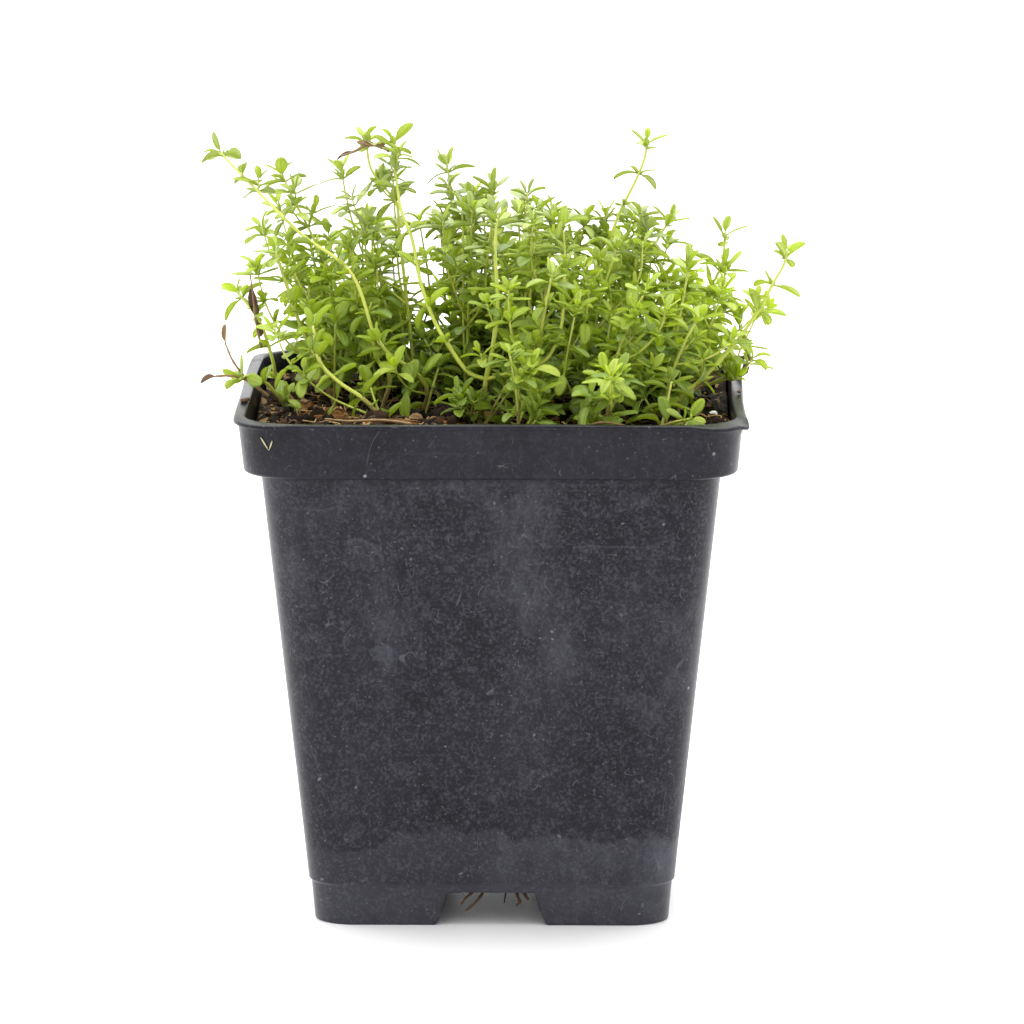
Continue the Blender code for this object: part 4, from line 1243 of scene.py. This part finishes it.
def habit_of(name, points):
    """The way a sprig grows, by its name or by where it stands."""
    for kind, names in KINDS.items():
        if name in names:
            return HABITS[kind]
    if name not in STEMS:
        return HABITS["front" if points[0][1] < -9 else "crown"]
    return HABITS["full"]


def skirt_shoots(points, rng, count):
    """Short leafy shoots close to the soil round a stem's foot."""
    x, y, z = points[0]
    shoots = []
    tallest = 17.0 if y > -9 else 9.0
    for _ in range(count):
        around, reach, rise = rng.uniform(0, 2 * math.pi), rng.uniform(2.5, 8.0), rng.uniform(5.0, tallest)
        tip = (x + reach * math.cos(around), y + reach * math.sin(around), z + rise)
        if max(abs(tip[0]), abs(tip[1])) < SOIL_HALF - 2.5:
            shoots.append([(x, y, z - 1.5), (x * 0.5 + tip[0] * 0.5, y * 0.5 + tip[1] * 0.5, z + 0.4 * rise), tip])
    return shoots


def make_sprig(name, lines, materials, habit):
    """One sprig: its stem, any shoots listed, thin side shoots, and buds in the angles of the leaves."""
    rng = random.Random(f"{SEED} {name} looks")
    top = lines[0][-1][2]
    size, (base, tip), gap, tufts, plump = habit.size, habit.thick, habit.gap, habit.tufts, habit.plump
    bare = 0.22 * (top - SOIL_Z) + 3
    low = 0.6 if top < 106 else 0.0
    shoots = [Shoot(rooted(lines[0]), rng, size, (base, tip), bare, gap, tufts, 1.0, plump, deep=low)]
    slender = (base * 0.7, tip * 0.8)
    shoots += [Shoot(line, rng, size, slender, 5.0, gap, tufts, 0.0, plump) for line in lines[1:]]
    for line in side_shoots(lines[0], rng, habit.shoots, habit.wide, habit.drop):
        shoots.append(Shoot(line, rng, size * 0.96, (0.24, 0.16), 4.0, gap, tufts * 0.9, 0.0, plump))
    for line in skirt_shoots(lines[0], rng, habit.skirt):
        shoots.append(Shoot(line, rng, 5.2, (0.28, 0.2), 2.0, (3.6, 5.4), 0.2, 0.6, (0.44, 0.56), 0.5, 0.85))
    for shoot in list(shoots):
        shoots += shoot.buds(*habit.buds)
    shell = Shell()
    for shoot in shoots:
        shoot.add_stem(shell, 1)
        add_leaves(shell, 0, shoot.leaves())
    sprig = shell.make(name.replace("sprig", "thyme"), *materials)
    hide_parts(name)
    return sprig


def make_sprigs():
    """Every sprig: the ones that stand out, then the ones that fill the pot."""
    materials = (leaf(), stem())
    pieces = []
    for name, points in [*STEMS.items(), *filler_stems().items()]:
        lines = [points, *CENTRE_SHOOTS] if name == "sprig_centre" else [points]
        pieces.append(make_sprig(name, lines, materials, habit_of(name, points)))
    return pieces


# ---- Dead twigs, withered leaves and dirt ----


# Dead twigs: the points of each line, its radius at both ends and its tone
TWIGS = [
    ([(-25.0, 8, 133.4), (-22.9, 8.5, 134.4), (-20.8, 9, 134.2), (-19.0, 9.6, 133.4)], (0.26, 0.5), 0.5),
    ([(-27.6, 7, 132.6), (-26.4, 7.5, 132.9), (-25.0, 8, 133.4)], (0.16, 0.24), 0.3),
    ([(-20.8, 9, 134.2), (-19.0, 9.4, 134.9), (-17.8, 9.8, 134.6)], (0.34, 0.2), 0.45),
    ([(-43.5, -3, 112.5), (-43.0, -4, 109), (-42.4, -4.5, 104), (-41.5, -4.5, 99.5)], (0.14, 0.26), 0.25),
    ([(-40.0, -12, 92.0), (-43.5, -14, 95.0), (-46.6, -16, 96.2), (-49.0, -17.5, 96.4)], (0.36, 0.22), 0.75),
    ([(-43.5, -14, 95.0), (-46.0, -15, 98.6), (-47.4, -15.6, 102.0)], (0.26, 0.16), 0.7),
    ([(34.0, -6, 91), (38.5, -1, 93.4), (42.0, 4, 95.6), (44.2, 8, 96.2), (45.2, 9.4, 94.6)], (0.36, 0.24), 0.8),
    ([(-14, -33, 90.4), (-19, -34, 91.2), (-25, -32.5, 90.8), (-29, -34, 91.4)], (0.28, 0.18), 0.6),
    ([(15, -36, 90.0), (19.5, -37, 91.4), (24, -36, 90.6)], (0.24, 0.18), 0.7),
]
# Withered leaves: root, direction, up side, length, width, arch and tone, then cup and roll where they aren't the
# usual ones
WITHERED = [
    ((-25.2, 8, 133.4), (-1, 0, -0.25), (0, -0.6, 1), 3.6, 1.0, 0.4, 0.1),
    ((-20.6, 9, 134.2), (-1.0, -0.2, 0.25), (0, -1, 0.6), 4.4, 1.3, 0.2, 0.42, 0.3),
    ((-43.4, -3.4, 111.0), (0.15, -0.3, -1), (-0.2, -1, 0.2), 6.2, 2.2, 0.5, 0.02),
    ((-42.2, -4.6, 104.6), (0.3, -0.2, -1), (0.4, -1, 0.1), 3.6, 1.3, 0.9, 0.12),
    ((-47.3, -15.6, 101.8), (-0.12, -0.1, 1), (-0.6, -1, 0), 3.7, 1.05, 0.3, 0.72),
    ((-48.8, -17.4, 96.4), (-0.9, -0.2, -0.12), (0, -0.8, 1), 3.3, 1.7, 0.6, 0.22),
    ((44.9, 8.6, 95.8), (0.30, 0.1, -1), (1, -0.6, 0.1), 4.6, 1.9, 1.1, 0.1),
    ((44.2, 8.0, 96.0), (0.8, -0.4, 0.15), (0.1, -0.5, 1), 2.6, 1.3, 0.8, 0.4),
]
FALLEN_LEAVES = [(-31, -27), (-22, -30), (-9, -31), (-15, -26), (27, -33), (33, -27), (-37, -18), (4, -34)]
RIM_DIRT = [
    (-43.9, -19.5, 92.4, 0.75), (-43.4, -17.6, 92.3, 0.45), (-43.8, 6.0, 92.3, 0.4), (43.9, -8.0, 92.3, 0.4),
]
SCRAP_PLACE = (-39.4, -44.6, 87.0)
SCRAP_TONE = 1.6


def add_withered(shell, rng, root, out, up, length, width, arch, tone, cup=0.9, roll=0.5):
    """One dead leaf, curled by its cup and roll."""
    tone = (tone, 0.0, rng.random())
    add_leaves(shell, 0, [(np.array(root, float), out, up, length, width, arch, cup, roll, tone)])


def add_twig(shell, points, thick, tone):
    """A thin dead stem whose radius wavers as a sine from point to point."""
    path = smooth_path(points, 0.4)
    wave = 1.0 + 0.15 * np.sin(np.arange(len(path)) * 1.3)
    body, faces = tube(path, np.linspace(*thick, len(path)) * wave, STEM_COLUMNS)
    shell.add(body, faces, tone=(tone, 0, 0))


def make_dried_bits(pot):
    """Withered stems and leaves caught among the sprigs and over the rim, and scraps stuck to the pot."""
    rng = np.random.default_rng(SEED + 5)
    shell = Shell()
    for line, thick, tone in TWIGS:
        add_twig(shell, line, thick, tone)
    for withered in WITHERED:
        add_withered(shell, rng, *withered)
    for x, y in FALLEN_LEAVES:
        out = (rng.uniform(-1, 1), rng.uniform(-1, 0.3), 0.1)
        root = (x, y, soil_level(x, y) + 0.9)
        add_withered(shell, rng, root, out, (0, -0.5, 1), rng.uniform(3.0, 4.6), 1.7, 0.5, rng.uniform(0.2, 0.9))

    bpy.context.view_layer.update()
    _, spot, away, _ = pot.closest_point_on_mesh(Vector(SCRAP_PLACE) * MM)
    spot, away = np.array(spot) / MM, np.array(away)
    for way, length, width in (((-0.62, 0.0, 0.8), 2.8, 0.34), ((0.45, 0.0, 0.9), 2.1, 0.28)):
        way = unit(way - away * np.dot(way, away))
        add_withered(shell, rng, spot + away * 0.12, way, away, length, width, 0.0, SCRAP_TONE, 0.1, 0.0)

    ball, faces = lump(9, 7)
    for x, y, z, radius in RIM_DIRT:
        shape = ball * radius * (1, 1.2, 0.6) * (1.0 + rng.uniform(-0.2, 0.2, (len(ball), 1)))
        shell.add(shape + (x, y, z), faces, tone=(0.1, 0, 0), place=ball)
    return shell.make("dried_bits", dried())


# ---- Studio ----


def make_studio():
    """A pale floor, white surroundings that are brighter behind the pot, and one large soft light overhead."""
    world = bpy.data.worlds.new("white_room")
    bpy.context.scene.world = world
    world.use_nodes = True
    background = world.node_tree.nodes["Background"]
    background.inputs["Color"].default_value = (1.0, 1.0, 1.0, 1.0)
    direction = world.node_tree.nodes.new("ShaderNodeTexCoord").outputs["Generated"]
    split = world.node_tree.nodes.new("ShaderNodeSeparateXYZ")
    world.node_tree.links.new(direction, split.inputs[0])
    behind = Value(world.node_tree, split.outputs["Y"])
    feed(world.node_tree, background.inputs["Strength"], behind.rise(-0.7, 0.8) * ROOM_GAIN + ROOM_STRENGTH)

    corners = [(x * FLOOR_SIZE, y * FLOOR_SIZE, 0) for x, y in ((-1, -1), (1, -1), (1, 1), (-1, 1))]
    mesh = bpy.data.meshes.new("floor")
    mesh.from_pydata(corners, [], [(0, 1, 2, 3)])
    mesh.materials.append(pale_floor())
    floor = shown("floor", mesh)

    data = bpy.data.lights.new("overhead", "SUN")
    data.energy, data.angle = SUN_POWER, math.radians(SUN_WIDTH)
    light = shown("overhead", data)
    light.location = SUN_FROM
    light.rotation_euler = (-Vector(SUN_FROM)).to_track_quat("-Z", "Y").to_euler()


def make_camera():
    """Looks down a little at the pot's front, from far off with a long lens."""
    right = Vector((math.cos(VIEW_TURN), math.sin(VIEW_TURN), 0.0))
    level = Vector((-math.sin(VIEW_TURN), math.cos(VIEW_TURN), 0.0))
    forward = level * math.cos(VIEW_PITCH) - Vector((0, 0, math.sin(VIEW_PITCH)))
    up = right.cross(forward)
    aim = right * AIM_RIGHT + up * AIM_UP + Vector((0, 0, AIM_HEIGHT))
    data = bpy.data.cameras.new("camera")
    data.lens, data.sensor_width, data.clip_end = LENS_MM, SENSOR_MM, 100.0
    camera = shown("camera", data)
    camera.location = (aim - forward * VIEW_DISTANCE) * MM
    camera.rotation_euler = Matrix((right, up, -forward)).transposed().to_euler()
    bpy.context.scene.camera = camera


def main():
    """Builds the studio and every piece, and gives each piece its body."""
    make_camera()
    make_studio()
    bpy.context.scene.view_settings.view_transform = "Standard"
    pot = make_pot()
    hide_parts("pot")
    slots = {
        "plastic": [pot],
        "soil": [make_soil(), make_crumbs(), make_fibres(), make_roots()],
        "bark": [make_bark(), make_dried_bits(pot)],
        "perlite": [make_perlite()],
        "thyme": make_sprigs(),
    }
    for slot, pieces in slots.items():
        for piece in pieces:
            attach(piece, "root")


main()
